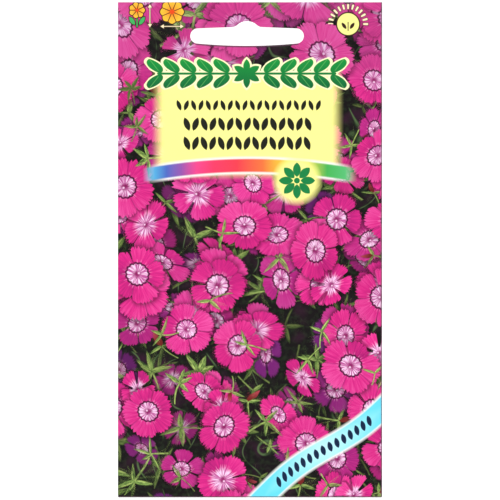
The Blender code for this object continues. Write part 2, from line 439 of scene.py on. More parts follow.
def draw_leaves(d: Drawing, under: Amount, place: Amount, tone: Amount, soft: Amount) -> Amount:
    """Draw the sprays of one layer: a thin stem and a few narrow leaves, some with a bud, from one point.

    Args:
        d: The drawing.
        under: The colour under the leaves.
        place: Where the point lies in its spray, as shares of its reach, and the spray's own number, which
            is below 0 on a spray with a bud.
        tone: How light the spray is, how many leaves it has, and how wide they are.
        soft: How wide its edges are.

    Returns:
        The colour with the leaves on it.
    """
    ink = LeafColours()
    u, v, number = d.split(place)
    light, count, width = d.split(tone)
    out = (u * u + v * v) ** 0.5
    sector = (d.math("ARCTAN2", v, u) / (2 * math.pi) + 0.5) * count
    leaf = sector.floor()
    luck = d.chance(leaf, number, 3.0)
    second_luck = d.chance(leaf, number, 4.0)
    stem = ((0.5 - leaf) * 20).clamp()
    bud = ((0.5 - abs(leaf - 2)) * 20).clamp() * (number * -20).clamp()
    turn = (sector - leaf - 0.5 + (luck - 0.5) * 0.5) * (2 * math.pi) / count
    along = out * turn.cosine() / (second_luck * 0.4 + 0.6).most(stem)
    aside = out * turn.sine() + along * along * (luck - 0.5) * (stem * 0.5 + 0.25)
    inside = along.clamp()
    blade = inside**0.5 * (1 - inside) * width * (1 - stem + bud * 0.9) + stem * 0.032
    depth = (blade - abs(aside)).least((along - 0.02) * 2).least((0.99 - along) * 2)
    fold = (aside / width * 4).clamp()
    sheen = d.noise(d.join(along * 3, aside * 30, number * 17), 1.5, 1.0)
    body = d.mix((fold + (sheen - 0.5) * 1.4 + 0.2 + stem * 0.5).clamp(), ink.mid, ink.lit)
    body = d.mix(((sheen - 0.5) * -3 + luck * 0.5).clamp(), body, ink.dark)
    body = d.mix(bud, body, d.mix((along * 1.6 - 0.7 + sheen * 0.5).clamp(), ink.bud, ink.bud_tip))
    body = d.dim(body, light)
    halo = (depth * 12 + 1).clamp()
    return d.mix(depth.edge(soft), d.dim(under, 1 - halo * 0.35), body)


@dataclass(frozen=True)
class Motif:
    """One flower or spray of the print: where it lies on the blank, its size and turn, and its tone."""

    across: float
    down: float
    reach: float
    turn: float
    lean: float
    squash: float
    number: float
    tone: Triple

    def local(self, across: np.ndarray, down: np.ndarray) -> tuple[np.ndarray, np.ndarray]:
        """Where points of the blank lie in this motif.

        Args:
            across: The points' places across the blank.
            down: Their places down the blank.

        Returns:
            Two shares of the motif's reach.
        """
        x = across - self.across
        y = self.down - down
        cos_lean, sin_lean = math.cos(self.lean), math.sin(self.lean)
        along = (x * cos_lean + y * sin_lean) / self.reach
        flat = (y * cos_lean - x * sin_lean) / (self.reach * self.squash)
        cos_turn, sin_turn = math.cos(self.turn), math.sin(self.turn)
        return along * cos_turn - flat * sin_turn, along * sin_turn + flat * cos_turn


class Motifs(Enum):
    """What a layer of the picture shows."""

    PINKS = "pinks"
    LEAVES = "leaf_sprays"


@dataclass
class MotifLayer:
    """One layer of motifs that don't overlap each other, scattered over the front of the blank."""

    name: str
    kind: Motifs
    seed: int
    reach: Pair
    squash: Pair
    tone: tuple[Pair, Pair, Pair]
    most: int
    soft: float
    spacing: float = 0.9
    low_spacing: float = 0.0
    odd_share: float = 0.2
    tries: int = 7000
    width: Pair = (-43.0, 43.0)
    height: Pair = (-4.0, 168.0)
    motifs: list[Motif] = field(default_factory=list)

    FAR = 9.0
    TOP_PART = 22.0
    TOP_GROWTH = 1.28
    MIDDLE = 86.0
    MIDDLE_REACH = 34.0
    MIDDLE_GROWTH = 0.14
    LOW_PART = 100.0
    BUD_LEAVES = 4.0
    CLEARANCE = 0.97

    def scatter(self) -> None:
        """Throw motifs at the blank and keep each that lies clear of those before it."""
        draw = random.Random(self.seed)
        for _ in range(self.tries):
            if len(self.motifs) >= self.most:
                break
            reach = draw.uniform(*self.reach)
            across, down = draw.uniform(*self.width), draw.uniform(*self.height)
            if down < self.TOP_PART:
                reach *= self.TOP_GROWTH
            else:
                reach *= 1 + self.MIDDLE_GROWTH * max(0.0, 1 - abs(down - self.MIDDLE) / self.MIDDLE_REACH)
            tone = [draw.uniform(*limits) for limits in self.tone]
            odd = draw.random() < self.odd_share
            if self.kind is Motifs.LEAVES:
                tone[1] = self.BUD_LEAVES if odd else float(round(tone[1]))
            spacing = self.spacing + (self.low_spacing if down > self.LOW_PART else 0.0)
            motif = Motif(
                across,
                down,
                reach,
                draw.uniform(0, 2 * math.pi),
                draw.uniform(0, math.pi),
                draw.uniform(*self.squash),
                float(len(self.motifs) + 1) * (-1 if odd else 1),
                tuple(tone),
            )
            if all(
                math.hypot(motif.across - other.across, motif.down - other.down)
                > (motif.reach + other.reach) * self.CLEARANCE + spacing
                for other in self.motifs
            ):
                self.motifs.append(motif)

    def write(self, mesh: bpy.types.Mesh, across: np.ndarray, down: np.ndarray, faces: np.ndarray) -> None:
        """Write the layer's two attributes on a mesh's corners.

        Each face takes the motif that it lies nearest to, so a point's place in its motif runs on evenly
        over the face.

        Args:
            mesh: The mesh.
            across: Each corner's place across the blank.
            down: Each corner's place down the blank.
            faces: The number of the face that each corner belongs to.
        """
        count = np.maximum(np.bincount(faces), 1)
        middle_across = np.bincount(faces, across) / count
        middle_down = np.bincount(faces, down) / count
        nearest = np.full(len(count), np.inf)
        chosen = np.full(len(count), -1)
        for i, motif in enumerate(self.motifs):
            u, v = motif.local(middle_across, middle_down)
            distance = np.hypot(u, v)
            closer = distance < nearest
            nearest[closer] = distance[closer]
            chosen[closer] = i
        place = np.full((len(faces), 3), self.FAR)
        tone = np.ones((len(faces), 3))
        owner = chosen[faces]
        for i, motif in enumerate(self.motifs):
            own = owner == i
            place[own, 0], place[own, 1] = motif.local(across[own], down[own])
            place[own, 2] = motif.number
            tone[own] = motif.tone
        for suffix, values in (("place", place), ("tone", tone)):
            layer = mesh.attributes.new(f"{self.name}_{suffix}", "FLOAT_VECTOR", "CORNER")
            layer.data.foreach_set("vector", values.astype(np.float32).ravel())


def print_layers() -> list[MotifLayer]:
    """Lay out the flower picture.

    Returns:
        Its layers, from the deepest to the nearest.
    """
    dusk = ((0.45, 0.80), (0.30, 0.95), (0.80, 1.0))
    shaded = ((0.76, 1.0), (0.0, 0.45), (0.84, 1.0))
    open_tone = ((0.92, 1.04), (0.0, 0.12), (0.92, 1.0))
    bright = ((0.93, 1.02), (0.0, 0.05), (0.97, 1.0))
    narrow = ((0.98, 1.12), (0.0, 0.05), (0.66, 0.80))
    dim_leaf = ((0.20, 0.55), (3, 6), (0.18, 0.30))
    leaf = ((0.60, 1.0), (3, 6), (0.18, 0.30))
    lit_leaf = ((0.82, 1.06), (3, 5), (0.16, 0.25))
    side_leaf = ((0.35, 0.90), (4, 6), (0.24, 0.36))
    pinks, leaves = Motifs.PINKS, Motifs.LEAVES
    layers = [
        MotifLayer("far_leaves", leaves, 12, (6.0, 10.0), (0.6, 1.0), dim_leaf, 110, 0.05, -3.0, 0.0, 0.0),
        MotifLayer("far_pinks", pinks, 11, (6.0, 8.5), (0.5, 1.0), dusk, 70, 0.10, -1.0, 1.0),
        MotifLayer("low_leaves", leaves, 18, (6.0, 10.0), (0.6, 1.0), leaf, 80, 0.04, -1.5, 0.0, 0.1),
        MotifLayer("low_pinks", pinks, 13, (7.2, 9.0), (0.55, 1.0), shaded, 70, 0.03, -0.5, 6.5),
        MotifLayer("mid_leaves", leaves, 14, (5.0, 9.0), (0.5, 1.0), leaf, 34, 0.03, 0.9, -1.0, 0.3),
        MotifLayer("mid_pinks", pinks, 15, (7.8, 9.4), (0.66, 1.0), open_tone, 60, 0.02, 0.2, 6.0),
        MotifLayer("narrow_pinks", pinks, 19, (6.4, 7.6), (0.7, 1.0), narrow, 8, 0.02, odd_share=1.0),
        MotifLayer("near_pinks", pinks, 16, (8.4, 9.6), (0.82, 1.0), bright, 26, 0.02, 0.9, 3.5, 0.15),
        MotifLayer(
            "side_leaves", leaves, 20, (4.5, 7.0), (0.6, 1.0), side_leaf, 8, 0.03, -2.5, 0.0, 0.3,
            width=(-36.5, -28.5), height=(25.0, 54.0),
        ),
        MotifLayer(
            "near_leaves", leaves, 17, (4.5, 7.5), (0.6, 1.0), lit_leaf, 15, 0.03, 0.9, 0.0, 0.3,
            height=(62.0, 168.0),
        ),
    ]
    for layer in layers:
        layer.scatter()
    return layers


def smooth(share: float) -> float:
    """Ease from 0 to 1."""
    share = min(max(share, 0.0), 1.0)
    return share * share * (3 - 2 * share)


@dataclass
class Blank:
    """The flat blank and how it folds: the sizes of the packet's one sheet of paper, in metres."""

    paper: float = 0.18 * MM
    layer_gap: float = 0.14 * MM
    header: float = 22.0 * MM
    lap_edge_from_right: float = 4.0 * MM
    lap_width: float = 8.0 * MM
    ramp: float = 1.6 * MM
    ramp_to_inner_edge: float = 0.6 * MM
    flap: float = 12.0 * MM
    bend_clearance: float = 0.08 * MM
    front_bulge: float = 0.6 * MM
    back_bulge: float = 1.8 * MM
    rise_at_bottom: float = 16.0 * MM
    rise_at_header: float = 80.0 * MM

    def __post_init__(self) -> None:
        """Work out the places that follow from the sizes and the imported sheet's box."""
        low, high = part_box("packet")
        self.centre = (low.x + high.x) / 2
        self.top = high.z
        self.bottom = low.z
        self.pitch = self.paper + self.layer_gap
        self.radius = self.pitch / 2
        self.half = (high.x - low.x) / 2 - self.radius - self.paper / 2
        self.lap_edge = high.x - self.lap_edge_from_right
        self.inner_edge = self.lap_edge - self.lap_width
        self.ramp_end = self.inner_edge - self.ramp_to_inner_edge
        self.ramp_start = self.ramp_end - self.ramp
        self.bend_y = 1.5 * self.pitch + self.paper / 2 + self.bend_clearance
        self.bend_z = self.bottom + self.bend_y + self.pitch / 2 + self.paper / 2
        self.bend_down = self.top - self.bend_z
        self.bend_length = math.pi * self.bend_y
        self.down_end = self.bend_down + self.bend_length + self.flap - (self.bend_z - self.bottom)
        self.fold_length = math.pi * self.radius
        self.inner_end = self.half + self.fold_length + (self.centre + self.half - self.inner_edge)
        self.back_start = -self.half - self.fold_length
        self.lap_end = self.back_start - (self.lap_edge - (self.centre - self.half))

    def section(self, across: float) -> Pair:
        """Where the sheet's middle lies, seen from above, before it bulges.

        Args:
            across: The place across the flat blank: 0 is the front's centre line, and right is positive.

        Returns:
            x and y.
        """
        reach = abs(across) - self.half
        if reach <= 0:
            return self.centre + across, -self.radius
        way = math.copysign(1.0, across)
        fold_x = self.centre + way * self.half
        if reach < self.fold_length:
            angle = reach / self.radius
            return fold_x + way * self.radius * math.sin(angle), -self.radius * math.cos(angle)
        x = fold_x - way * (reach - self.fold_length)
        lift = 0.0 if way > 0 else self.pitch * smooth((x - self.ramp_start) / self.ramp)
        return x, self.radius + lift

    def bulge(self, x: float, z: float) -> float:
        """How far a panel stands out at a place.

        Args:
            x: The place across.
            z: The place up.

        Returns:
            The share of the full bulge.
        """
        if z >= self.top - self.header or z <= self.bend_z:
            return 0.0
        share = (x - self.centre) / self.half
        if abs(share) >= 1:
            return 0.0
        low = min((z - self.bend_z) / self.rise_at_bottom, 1.0)
        high = smooth((self.top - self.header - z) / self.rise_at_header)
        return (1 - share * share) * math.sin(low * math.pi / 2) * high

    def fold(self, across: float, down: float, relief: Relief) -> Vector:
        """Where a point of the flat blank comes to lie in the folded packet.

        Args:
            across: Its place across the blank.
            down: Its place down the blank.
            relief: The small creases and bumps of the paper.

        Returns:
            The point, in the packet's frame.
        """
        x, y = self.section(across)
        front = y < 0
        arm = self.bend_y - y
        turn = (down - self.bend_down) / self.bend_y
        if turn <= 0:
            z = self.top - down
            share = self.bulge(x, z)
            if front:
                return Vector((x, y - self.front_bulge * share - relief.front(x, z), z))
            return Vector((x, y + self.back_bulge * share + relief.back(x, z), z))
        if turn < math.pi:
            return Vector((x, self.bend_y - arm * math.cos(turn), self.bend_z - arm * math.sin(turn)))
        z = self.bend_z + down - self.bend_down - self.bend_length
        return Vector((x, self.bend_y + arm + self.back_bulge * self.bulge(x, z) + relief.back(x, z), z))


@dataclass
class Relief:
    """The small form of the paper: puckers over the bottom fold and the seeds that show through."""

    blank_centre: float
    bottom: float
    half_width: float
    header_z: float
    pucker_height: float = 0.10 * MM
    pucker_reach: float = 26.0 * MM
    pucker_start: float = 0.04
    pucker_sides: float = 0.8
    pucker_count: int = 7
    pucker_paces: Pair = (0.14, 0.75)
    pucker_slope: float = 0.25
    pucker_spread: float = 0.35
    pucker_floor: float = 0.35
    seed_height: float = 0.09 * MM
    seed_reach: float = 1.25 * MM
    seed_rows: tuple[int, ...] = (15, 14, 12, 8)
    seed_spacing: float = 1.45 * MM
    seed_rise: float = 1.25 * MM
    seed_floor: float = 5.0 * MM
    seed_zone: Pair = (2 * MM, 12 * MM)
    seed_jitter: float = 0.2
    seed_heights: Pair = (0.3, 1.0)
    waves_front: float = 0.09 * MM
    waves_back: float = 0.10 * MM
    wave_start: Pair = (6 * MM, 14 * MM)
    back_shift: float = 3 * MM
    back_puckers: float = 1.1
    back_seeds: float = 0.5
    seed: int = 5

    def __post_init__(self) -> None:
        """Draw the waves of the puckers and the places of the seeds."""
        draw = random.Random(self.seed)
        steepest = self.pucker_slope
        self.waves = []
        for _ in range(self.pucker_count):
            pace = draw.uniform(*self.pucker_paces) / MM
            phase = draw.uniform(0, 2 * math.pi)
            self.waves.append((pace, phase, draw.uniform(-steepest, steepest)))
        off = self.seed_jitter
        self.seeds = []
        for row, count in enumerate(self.seed_rows):
            for i in range(count):
                x = self.blank_centre + (i - (count - 1) / 2) * self.seed_spacing
                z = self.bottom + self.seed_floor + row * self.seed_rise
                x += draw.uniform(-off, off) * MM
                z += draw.uniform(-off, off) * MM
                self.seeds.append((x, z, draw.uniform(*self.seed_heights)))

    def _puckers(self, x: float, z: float) -> float:
        """Upright ridges that die out up the panel and towards its sides.

        Args:
            x: The place across.
            z: The place up.

        Returns:
            Their height, from 0 to 1.
        """
        rise = (z - self.bottom) / self.pucker_reach
        if not self.pucker_start < rise < 1:
            return 0.0
        aside = abs(x - self.blank_centre) / self.half_width
        spread = 1 - self.pucker_spread * rise
        wave = sum(math.sin(x * pace * spread + phase + slope * z / MM) for pace, phase, slope in self.waves)
        wave /= len(self.waves)
        fade = smooth(rise * 6) * (1 - rise) ** 2 * (1 - smooth((aside - self.pucker_sides) * 5))
        return max(wave + self.pucker_floor, 0.0) * fade

    def _seeds(self, x: float, z: float) -> float:
        """Low bumps where seeds press on the paper.

        Args:
            x: The place across.
            z: The place up.

        Returns:
            Their height, from 0 to 1.
        """
        if not self.seed_zone[0] <= z - self.bottom <= self.seed_zone[1]:
            return 0.0
        found = 0.0
        for seed_x, seed_z, height in self.seeds:
            gap = math.hypot(x - seed_x, z - seed_z) / self.seed_reach
            if gap < 1:
                found = max(found, height * (1 - gap * gap) ** 2)
        return found

    def _waviness(self, x: float, z: float) -> float:
        """Long, shallow waves over the whole panel, none at its sides or on the header.

        Args:
            x: The place across.
            z: The place up.

        Returns:
            Their height, from 0 to 1.
        """
        aside = 1 - min(abs(x - self.blank_centre) / self.half_width, 1.0) ** 4
        foot, head = self.wave_start
        below = smooth((self.header_z - z) / head) * smooth((z - self.bottom) / foot)
        wave = math.sin(x * 95 + z * 60) * math.sin(z * 120 - x * 30 + 1.3)
        wave += math.sin(x * 160 - z * 75 + 0.4) * 0.5
        return (wave / 3 + 0.5) * aside * below

    def front(self, x: float, z: float) -> float:
        """How far the front stands out over its plain bulge.

        Args:
            x: The place across.
            z: The place up.

        Returns:
            The height, in metres.
        """
        return (
            self.pucker_height * self._puckers(x, z)
            + self.seed_height * self._seeds(x, z)
            + self.waves_front * self._waviness(x, z)
        )

    def back(self, x: float, z: float) -> float:
        """How far the back stands out over its plain bulge.

        Args:
            x: The place across.
            z: The place up.

        Returns:
            The height, in metres.
        """
        return (
            self.back_puckers * self.pucker_height * self._puckers(x + self.back_shift, z)
            + self.back_seeds * self.seed_height * self._seeds(x, z)
            + self.waves_back * self._waviness(-x, z)
        )


def arc(centre: Pair, radius: float, start: float, end: float, steps: int) -> list[Pair]:
    """Points on an arc, both ends included."""
    angles = (start + (end - start) * i / steps for i in range(steps + 1))
    return [(centre[0] + radius * math.cos(angle), centre[1] + radius * math.sin(angle)) for angle in angles]


def stations(marks: Sequence[Pair]) -> list[float]:
    """Divide a line evenly between marks.

    Args:
        marks: Each a place, and the longest step from there to the next one.

    Returns:
        The places, the marks' own included.
    """
    places = []
    for (start, step), (end, _) in zip(marks, marks[1:]):
        count = max(1, math.ceil(abs(end - start) / step - ROUNDING))
        places += [start + (end - start) * i / count for i in range(count)]
    return [*places, marks[-1][0]]


class Side(Enum):
    """The faces of a piece of the sheet, which are also its material slots."""

    PRINTED = 0
    PLAIN = 1


@dataclass
class SlotShape:
    """The outline of the hanging slot, in metres: long, with round ends and an arch over its middle."""

    length: float = 34.4 * MM
    top_at_arch: float = -1.8 * MM
    top_at_ends: float = -2.2 * MM
    end_bottom: float = -6.8 * MM
    middle_bottom: float = -7.5 * MM
    arch_radius: float = 4.4 * MM
    shoulder_radius: float = 2.5 * MM
    steps: tuple[int, int, int, int] = (14, 8, 20, 12)
    reach_through: float = 3 * MM

    def half(self) -> list[Pair]:
        """Lay out the right half: the arch, its shoulder, the round end and the bowed bottom.

        Returns:
            Its points, from the top of the arch round to the middle of the bottom.
        """
        arch, bend, round_end, bottom = self.steps
        reach = self.arch_radius + self.shoulder_radius
        rise = self.arch_radius + self.top_at_arch + self.shoulder_radius
        shoulder = (math.sqrt(reach**2 - rise**2), self.top_at_arch + self.shoulder_radius)
        tangent = math.atan2(rise, shoulder[0])
        end_radius = (self.top_at_ends - self.end_bottom) / 2
        end_x = self.length / 2 - end_radius
        sag = self.middle_bottom - self.end_bottom
        points = arc((0.0, -self.arch_radius), self.arch_radius, math.pi / 2, tangent, arch)
        points += arc(shoulder, self.shoulder_radius, tangent + math.pi, 1.5 * math.pi, bend)[1:]
        end = (end_x, self.top_at_ends - end_radius)
        points += arc(end, end_radius, math.pi / 2, -math.pi / 2, round_end)
        left = (1 - i / bottom for i in range(1, bottom + 1))
        return points + [(end_x * share, self.end_bottom + sag * (1 - share**2)) for share in left]

    def outline(self) -> list[Pair]:
        """The whole outline."""
        half = self.half()
        return half + [(-x, z) for x, z in reversed(half[1:-1])]

    def cutter(self) -> bpy.types.Object:
        """Make the tool that punches the slot.

        Returns:
            A prism of the slot's outline that runs through the header, front to back.
        """
        outline = self.outline()
        bpy.ops.object.select_all(action="DESELECT")
        bpy.ops.mesh.primitive_circle_add(
            vertices=len(outline), radius=self.length / 2, fill_type="NGON", rotation=(math.pi / 2, 0, 0)
        )
        cutter = bpy.context.object
        cutter.name = "slot_punch"
        bpy.ops.object.transform_apply(location=True, rotation=True, scale=True)
        for vertex, (x, z) in zip(cutter.data.vertices, outline):
            vertex.co = (x, -self.reach_through, z)
        bpy.ops.object.mode_set(mode="EDIT")
        bpy.ops.mesh.select_all(action="SELECT")
        through = (0, 2 * self.reach_through, 0)
        bpy.ops.mesh.extrude_region_move(TRANSFORM_OT_translate={"value": through})
        bpy.ops.mesh.select_all(action="SELECT")
        bpy.ops.mesh.normals_make_consistent(inside=False)
        bpy.ops.object.mode_set(mode="OBJECT")
        for _ in Side:
            cutter.data.materials.append(None)
        for face in cutter.data.polygons:
            face.material_index = Side.PLAIN.value
        return cutter


class SheetPiece:
    """A stretch of the folded sheet, as a closed body of the paper's thickness, mapped for its print."""

    PRINT_SHARE = 0.94
    INSIDE_START = 0.014
    INSIDE_SHARE = 0.040
    EDGE_SHARE = 0.010
    CELL_HALF = 0.4
    NO_AREA = 1e-9
    OFF_PRINT = 500.0
    SMOOTH_UP_TO = math.radians(40)
    MAP = "OFBake"

    def __init__(
        self, name: str, blank: Blank, relief: Relief, columns: list[float], rows: list[float]
    ) -> None:
        """Lay out a flat grid and fold it.

        Args:
            name: The piece's name.
            blank: The blank that it is part of.
            relief: The small form of the paper.
            columns: The places across the blank where it has vertices, from left to right.
            rows: The places down the blank.
        """
        self.blank = blank
        bpy.ops.object.select_all(action="DESELECT")
        bpy.ops.mesh.primitive_grid_add(
            x_subdivisions=len(columns) - 1, y_subdivisions=len(rows) - 1, size=abs(columns[0] - columns[-1])
        )
        self.object = bpy.context.object
        self.object.name = name
        self.object.data.name = name
        mesh = self.object.data
        count = len(columns)
        flat = [(columns[i % count], rows[-1 - i // count]) for i in range(len(mesh.vertices))]
        folded = (blank.fold(across, down, relief) for across, down in flat)
        mesh.vertices.foreach_set("co", [part for point in folded for part in point])
        while mesh.uv_layers:
            mesh.uv_layers.remove(mesh.uv_layers[0])
        corners = np.empty(len(mesh.loops), np.int32)
        mesh.loops.foreach_get("vertex_index", corners)
        places = np.array(flat)[corners]
        self.low = np.array((min(columns), 0.0))
        self.span = np.array((max(columns) - min(columns), rows[-1]))
        shares = (places - self.low) / self.span
        shares[:, 1] = 1 - shares[:, 1] * self.PRINT_SHARE
        mesh.uv_layers.new(name=self.MAP)
        self._map(shares)

    def thicken(self) -> None:
        """Give the sheet its paper's thickness, and put its inside on a strip of its own in the map."""
        self._pick()
        solid = self.object.modifiers.new("paper", "SOLIDIFY")
        solid.thickness = self.blank.paper
        solid.offset = 0.0
        solid.use_even_offset = True
        solid.material_offset = Side.PLAIN.value
        solid.material_offset_rim = Side.PLAIN.value
        bpy.ops.object.modifier_apply(modifier="paper")
        plain = self._plain_corners()
        shares = self._shares()
        shares[plain, 1] = self.INSIDE_START + (1 - shares[plain, 1]) / self.PRINT_SHARE * self.INSIDE_SHARE
        self._map(shares)

    def punch(self, cutter: bpy.types.Object) -> None:
        """Cut the slot through the sheet.

        Args:
            cutter: The prism of the slot.
        """
        self._pick()
        cut = self.object.modifiers.new("slot", "BOOLEAN")
        cut.operation = "DIFFERENCE"
        cut.solver = "EXACT"
        cut.object = cutter
        bpy.ops.object.modifier_apply(modifier="slot")

    def map_edges(self) -> None:
        """Give each face of the cut edges, which has no area in the map yet, a cell in a thin strip."""
        mesh = self.object.data
        shares = self._shares()
        bare = []
        for face in mesh.polygons:
            corners = shares[face.loop_start : face.loop_start + face.loop_total]
            x, y = corners[:, 0], corners[:, 1]
            area = abs(np.dot(x, np.roll(y, -1)) - np.dot(y, np.roll(x, -1))) / 2
            if area < self.NO_AREA:
                bare.append(face)
        for number, face in enumerate(bare):
            for i in range(face.loop_total):
                turn = 2 * math.pi * i / face.loop_total
                corner = shares[face.loop_start + i]
                corner[0] = (number + 0.5 + self.CELL_HALF * math.cos(turn)) / len(bare)
                corner[1] = self.EDGE_SHARE * (0.5 + self.CELL_HALF * math.sin(turn))
        self._map(shares)
        log.info("%s: %d cut faces in the map's edge strip", self.object.name, len(bare))

    def finish(self) -> None:
        """Shade the sheet smooth but for its cut edges."""
        self._pick()
        bpy.ops.object.shade_smooth_by_angle(angle=self.SMOOTH_UP_TO)

    def _pick(self) -> None:
        """Make the sheet the one selected and active object."""
        bpy.ops.object.select_all(action="DESELECT")
        self.object.select_set(True)
        bpy.context.view_layer.objects.active = self.object

    def _map(self, shares: np.ndarray) -> None:
        """Set the map's places, one for each corner."""
        self.object.data.uv_layers[self.MAP].data.foreach_set("uv", shares.astype(np.float32).ravel())

    def _shares(self) -> np.ndarray:
        """Read the map.

        Returns:
            Its places, one for each corner.
        """
        mesh = self.object.data
        shares = np.empty(len(mesh.loops) * 2, np.float32)
        mesh.uv_layers[self.MAP].data.foreach_get("uv", shares)
        return shares.reshape(-1, 2).astype(float)

    def _of_faces(self, name: str) -> np.ndarray:
        """Read a whole number of every face.

        Args:
            name: Blender's name for it.

        Returns:
            The numbers.
        """
        faces = self.object.data.polygons
        values = np.empty(len(faces), np.int32)
        faces.foreach_get(name, values)
        return values

    def _plain_corners(self) -> np.ndarray:
        """Which corners belong to the sheet's unprinted inside and edges."""
        return np.repeat(self._of_faces("material_index"), self._of_faces("loop_total")) == Side.PLAIN.value

    def write_print(self, layers: Sequence[MotifLayer]) -> None:
        """Write each corner's place in the print, and in each layer's motifs.

        Args:
            layers: The layers of the flower picture that show on this piece.
        """
        mesh = self.object.data
        shares = self._shares()
        shares[:, 1] = (1 - shares[:, 1]) / self.PRINT_SHARE
        places = (shares * self.span + self.low) / MM
        places[self._plain_corners()] = self.OFF_PRINT
        faces = np.repeat(np.arange(len(mesh.polygons)), self._of_faces("loop_total"))
        across, down = places[:, 0], places[:, 1]
        where = mesh.attributes.new("print", "FLOAT_VECTOR", "CORNER")
        flat = np.stack((across, down, np.zeros(len(across))), axis=1)
        where.data.foreach_set("vector", flat.astype(np.float32).ravel())
        for layer in layers:
            layer.write(mesh, across, down, faces)


@dataclass(frozen=True)
class PrintedInks:
    """The inks of the printed shapes that lie over the flower picture, and the colour of the painted shade
    along the folds.
    """

    gap: Colour = linear(12, 6, 8)
    gap_green: Colour = linear(26, 36, 20)
    gap_wine: Colour = linear(44, 14, 36)
    stem: Colour = linear(104, 140, 84)
    panel: Colour = linear(255, 250, 148)
    leaf_top: Colour = linear(24, 146, 60)
    leaf_foot: Colour = linear(16, 100, 54)
    leaf_vein: Colour = linear(96, 178, 92)
    leaf_edge: Colour = linear(253, 252, 196)
    seed: Colour = linear(28, 30, 22)
    star: Colour = linear(22, 128, 66)
    glow: Colour = linear(248, 250, 246)
    ribbon: Colour = linear(104, 222, 246)
    ribbon_pale: Colour = linear(186, 242, 252)
    ribbon_mark: Colour = linear(14, 34, 66)
    sign_petal: Colour = linear(254, 190, 58)
    sign_heart: Colour = linear(232, 74, 26)
    sign_leaf: Colour = linear(66, 176, 92)
    sign_edge: Colour = linear(52, 26, 22)
    arrow: Colour = linear(252, 232, 190)
    # painted shade, not an ink: the dark of the rounded folds and of the slot's lower edge
    fold_shade: Colour = linear(84, 62, 74)
    haze: Colour = linear(150, 92, 142)
    disc: Colour = linear(250, 244, 146)


@dataclass(frozen=True)
class Spot:
    """A place on the blank and a size, in millimetres."""

    across: float
    down: float
    reach: float

    def sized(self, reach: float) -> Spot:
        """The same place with another size."""
        return Spot(self.across, self.down, reach)


class Print:
    """A print that is built up shape by shape, in millimetres on the flat blank.

    Each shape is given as how deep a point lies in it: above 0 inside, below 0 outside.
    """

    EDGE = 0.14

    def start(self, drawing: Drawing, colour: Amount | None = None) -> None:
        """Take up the drawing, at the point's place on the blank.

        Args:
            drawing: The material's drawing.
            colour: The print so far, which the place then waits for.
        """
        place = drawing.attribute("print")
        if colour is not None:
            place = drawing.after(colour, place)
        self.drawing = drawing
        self.colour = colour
        self.across, self.down, _ = drawing.split(place)

    def blend(self, share: Amount, ink: Amount | Colour) -> None:
        """Mix a share of an ink into the print."""
        self.colour = self.drawing.mix(share, self.colour, ink)

    def over(self, depth: Amount, ink: Amount | Colour, soft: float = EDGE) -> None:
        """Print a shape."""
        self.blend(depth.edge(soft), ink)

    def framed(self, depth: Amount, frame: float, edge_ink: Colour, ink: Amount | Colour) -> None:
        """Print a shape inside a frame of another ink."""
        self.over(depth + frame, edge_ink)
        self.over(depth, ink)

    def dulled(self, depth: Amount, share: float, ink: Colour, soft: float = EDGE) -> None:
        """Print a shape that lets a share of the print through."""
        self.over(depth, self.drawing.mix(share, self.colour, ink), soft)

    def reach(self, x: Amount, y: Amount) -> Amount:
        """How far a point lies from 0, 0."""
        return (x * x + y * y) ** 0.5

    def turned(self, x: Amount, y: Amount, angle: float) -> tuple[Amount, Amount]:
        """The place of a point along and aside a direction."""
        return x * math.cos(angle) + y * math.sin(angle), y * math.cos(angle) - x * math.sin(angle)

    def disc(self, spot: Spot) -> Amount:
        """A round spot."""
        return spot.reach - self.reach(self.across - spot.across, self.down - spot.down)

    def box(self, x: Amount, y: Amount, half_width: float, half_height: float) -> Amount:
        """An upright box round 0, 0."""
        return (half_width - abs(x)).least(half_height - abs(y))

    def stroke(self, x: Amount, y: Amount, half_length: Value, half_width: float) -> Amount:
        """A round-ended line along x."""
        return half_width - self.reach((abs(x) - half_length).most(0.0), y)

    def lens(self, along: Amount, aside: Amount, length: float, half_width: float) -> Amount:
        """A pointed oval, from 0 to its length."""
        radius = (length * length / 4 + half_width * half_width) / (2 * half_width)
        return radius - self.reach(along - length / 2, abs(aside) + (radius - half_width))

    def rosette(
        self, spot: Spot, count: int, half_width: float, start: float = 0.0, first: float = 0.0,
        gap: float = -9.0,
    ) -> Amount:
        """Pointed ovals all round a spot.

        Args:
            spot: The spot, with the ovals' reach.
            count: How many there are.
            half_width: Half their width.
            start: Where they start, out from the spot.
            first: The direction of one of them.
            gap: How far each keeps from the line halfway to the next.

        Returns:
            The depth in them.
        """
        x = self.across - spot.across
        y = self.down - spot.down
        step = 2 * math.pi / count
        angle = self.drawing.math("ARCTAN2", y, x) - first
        aside = angle - (angle / step + 0.5).floor() * step
        out = self.reach(x, y)
        petals = self.lens(out * aside.cosine() - start, out * aside.sine(), spot.reach - start, half_width)
        return petals.least((step / 2 - abs(aside)) * out - gap)

    def arrow(self, x: Amount, y: Amount, half_length: float, head: float, half_width: float) -> Amount:
        """A line along x with a head at either end.

        Args:
            x: The point's place along it.
            y: The point's place aside.
            half_length: Half its length.
            head: The length of a head.
            half_width: Half the line's width.

        Returns:
            The depth in it.
        """
        shaft = self.stroke(x, y, half_length - head * 0.6, half_width)
        back = half_length - abs(x)
        return shaft.most((back * 0.62 - abs(y)).least(head - back))

    def sprout(self, x: Amount, y: Amount, size: float) -> Amount:
        """Two leaves on a short stem, standing on 0, 0.

        Args:
            x: The point's place across.
            y: The point's place down.
            size: The height of the sprout.

        Returns:
            The depth in it.
        """
        along, aside = self.turned(abs(x) - size * 0.15, -y - size * 0.14, 0.95)
        leaves = self.lens(along, aside, size * 0.66, size * 0.14)
        return leaves.most(self.stroke(y + size * 0.35, x, size * 0.35, size * 0.04))


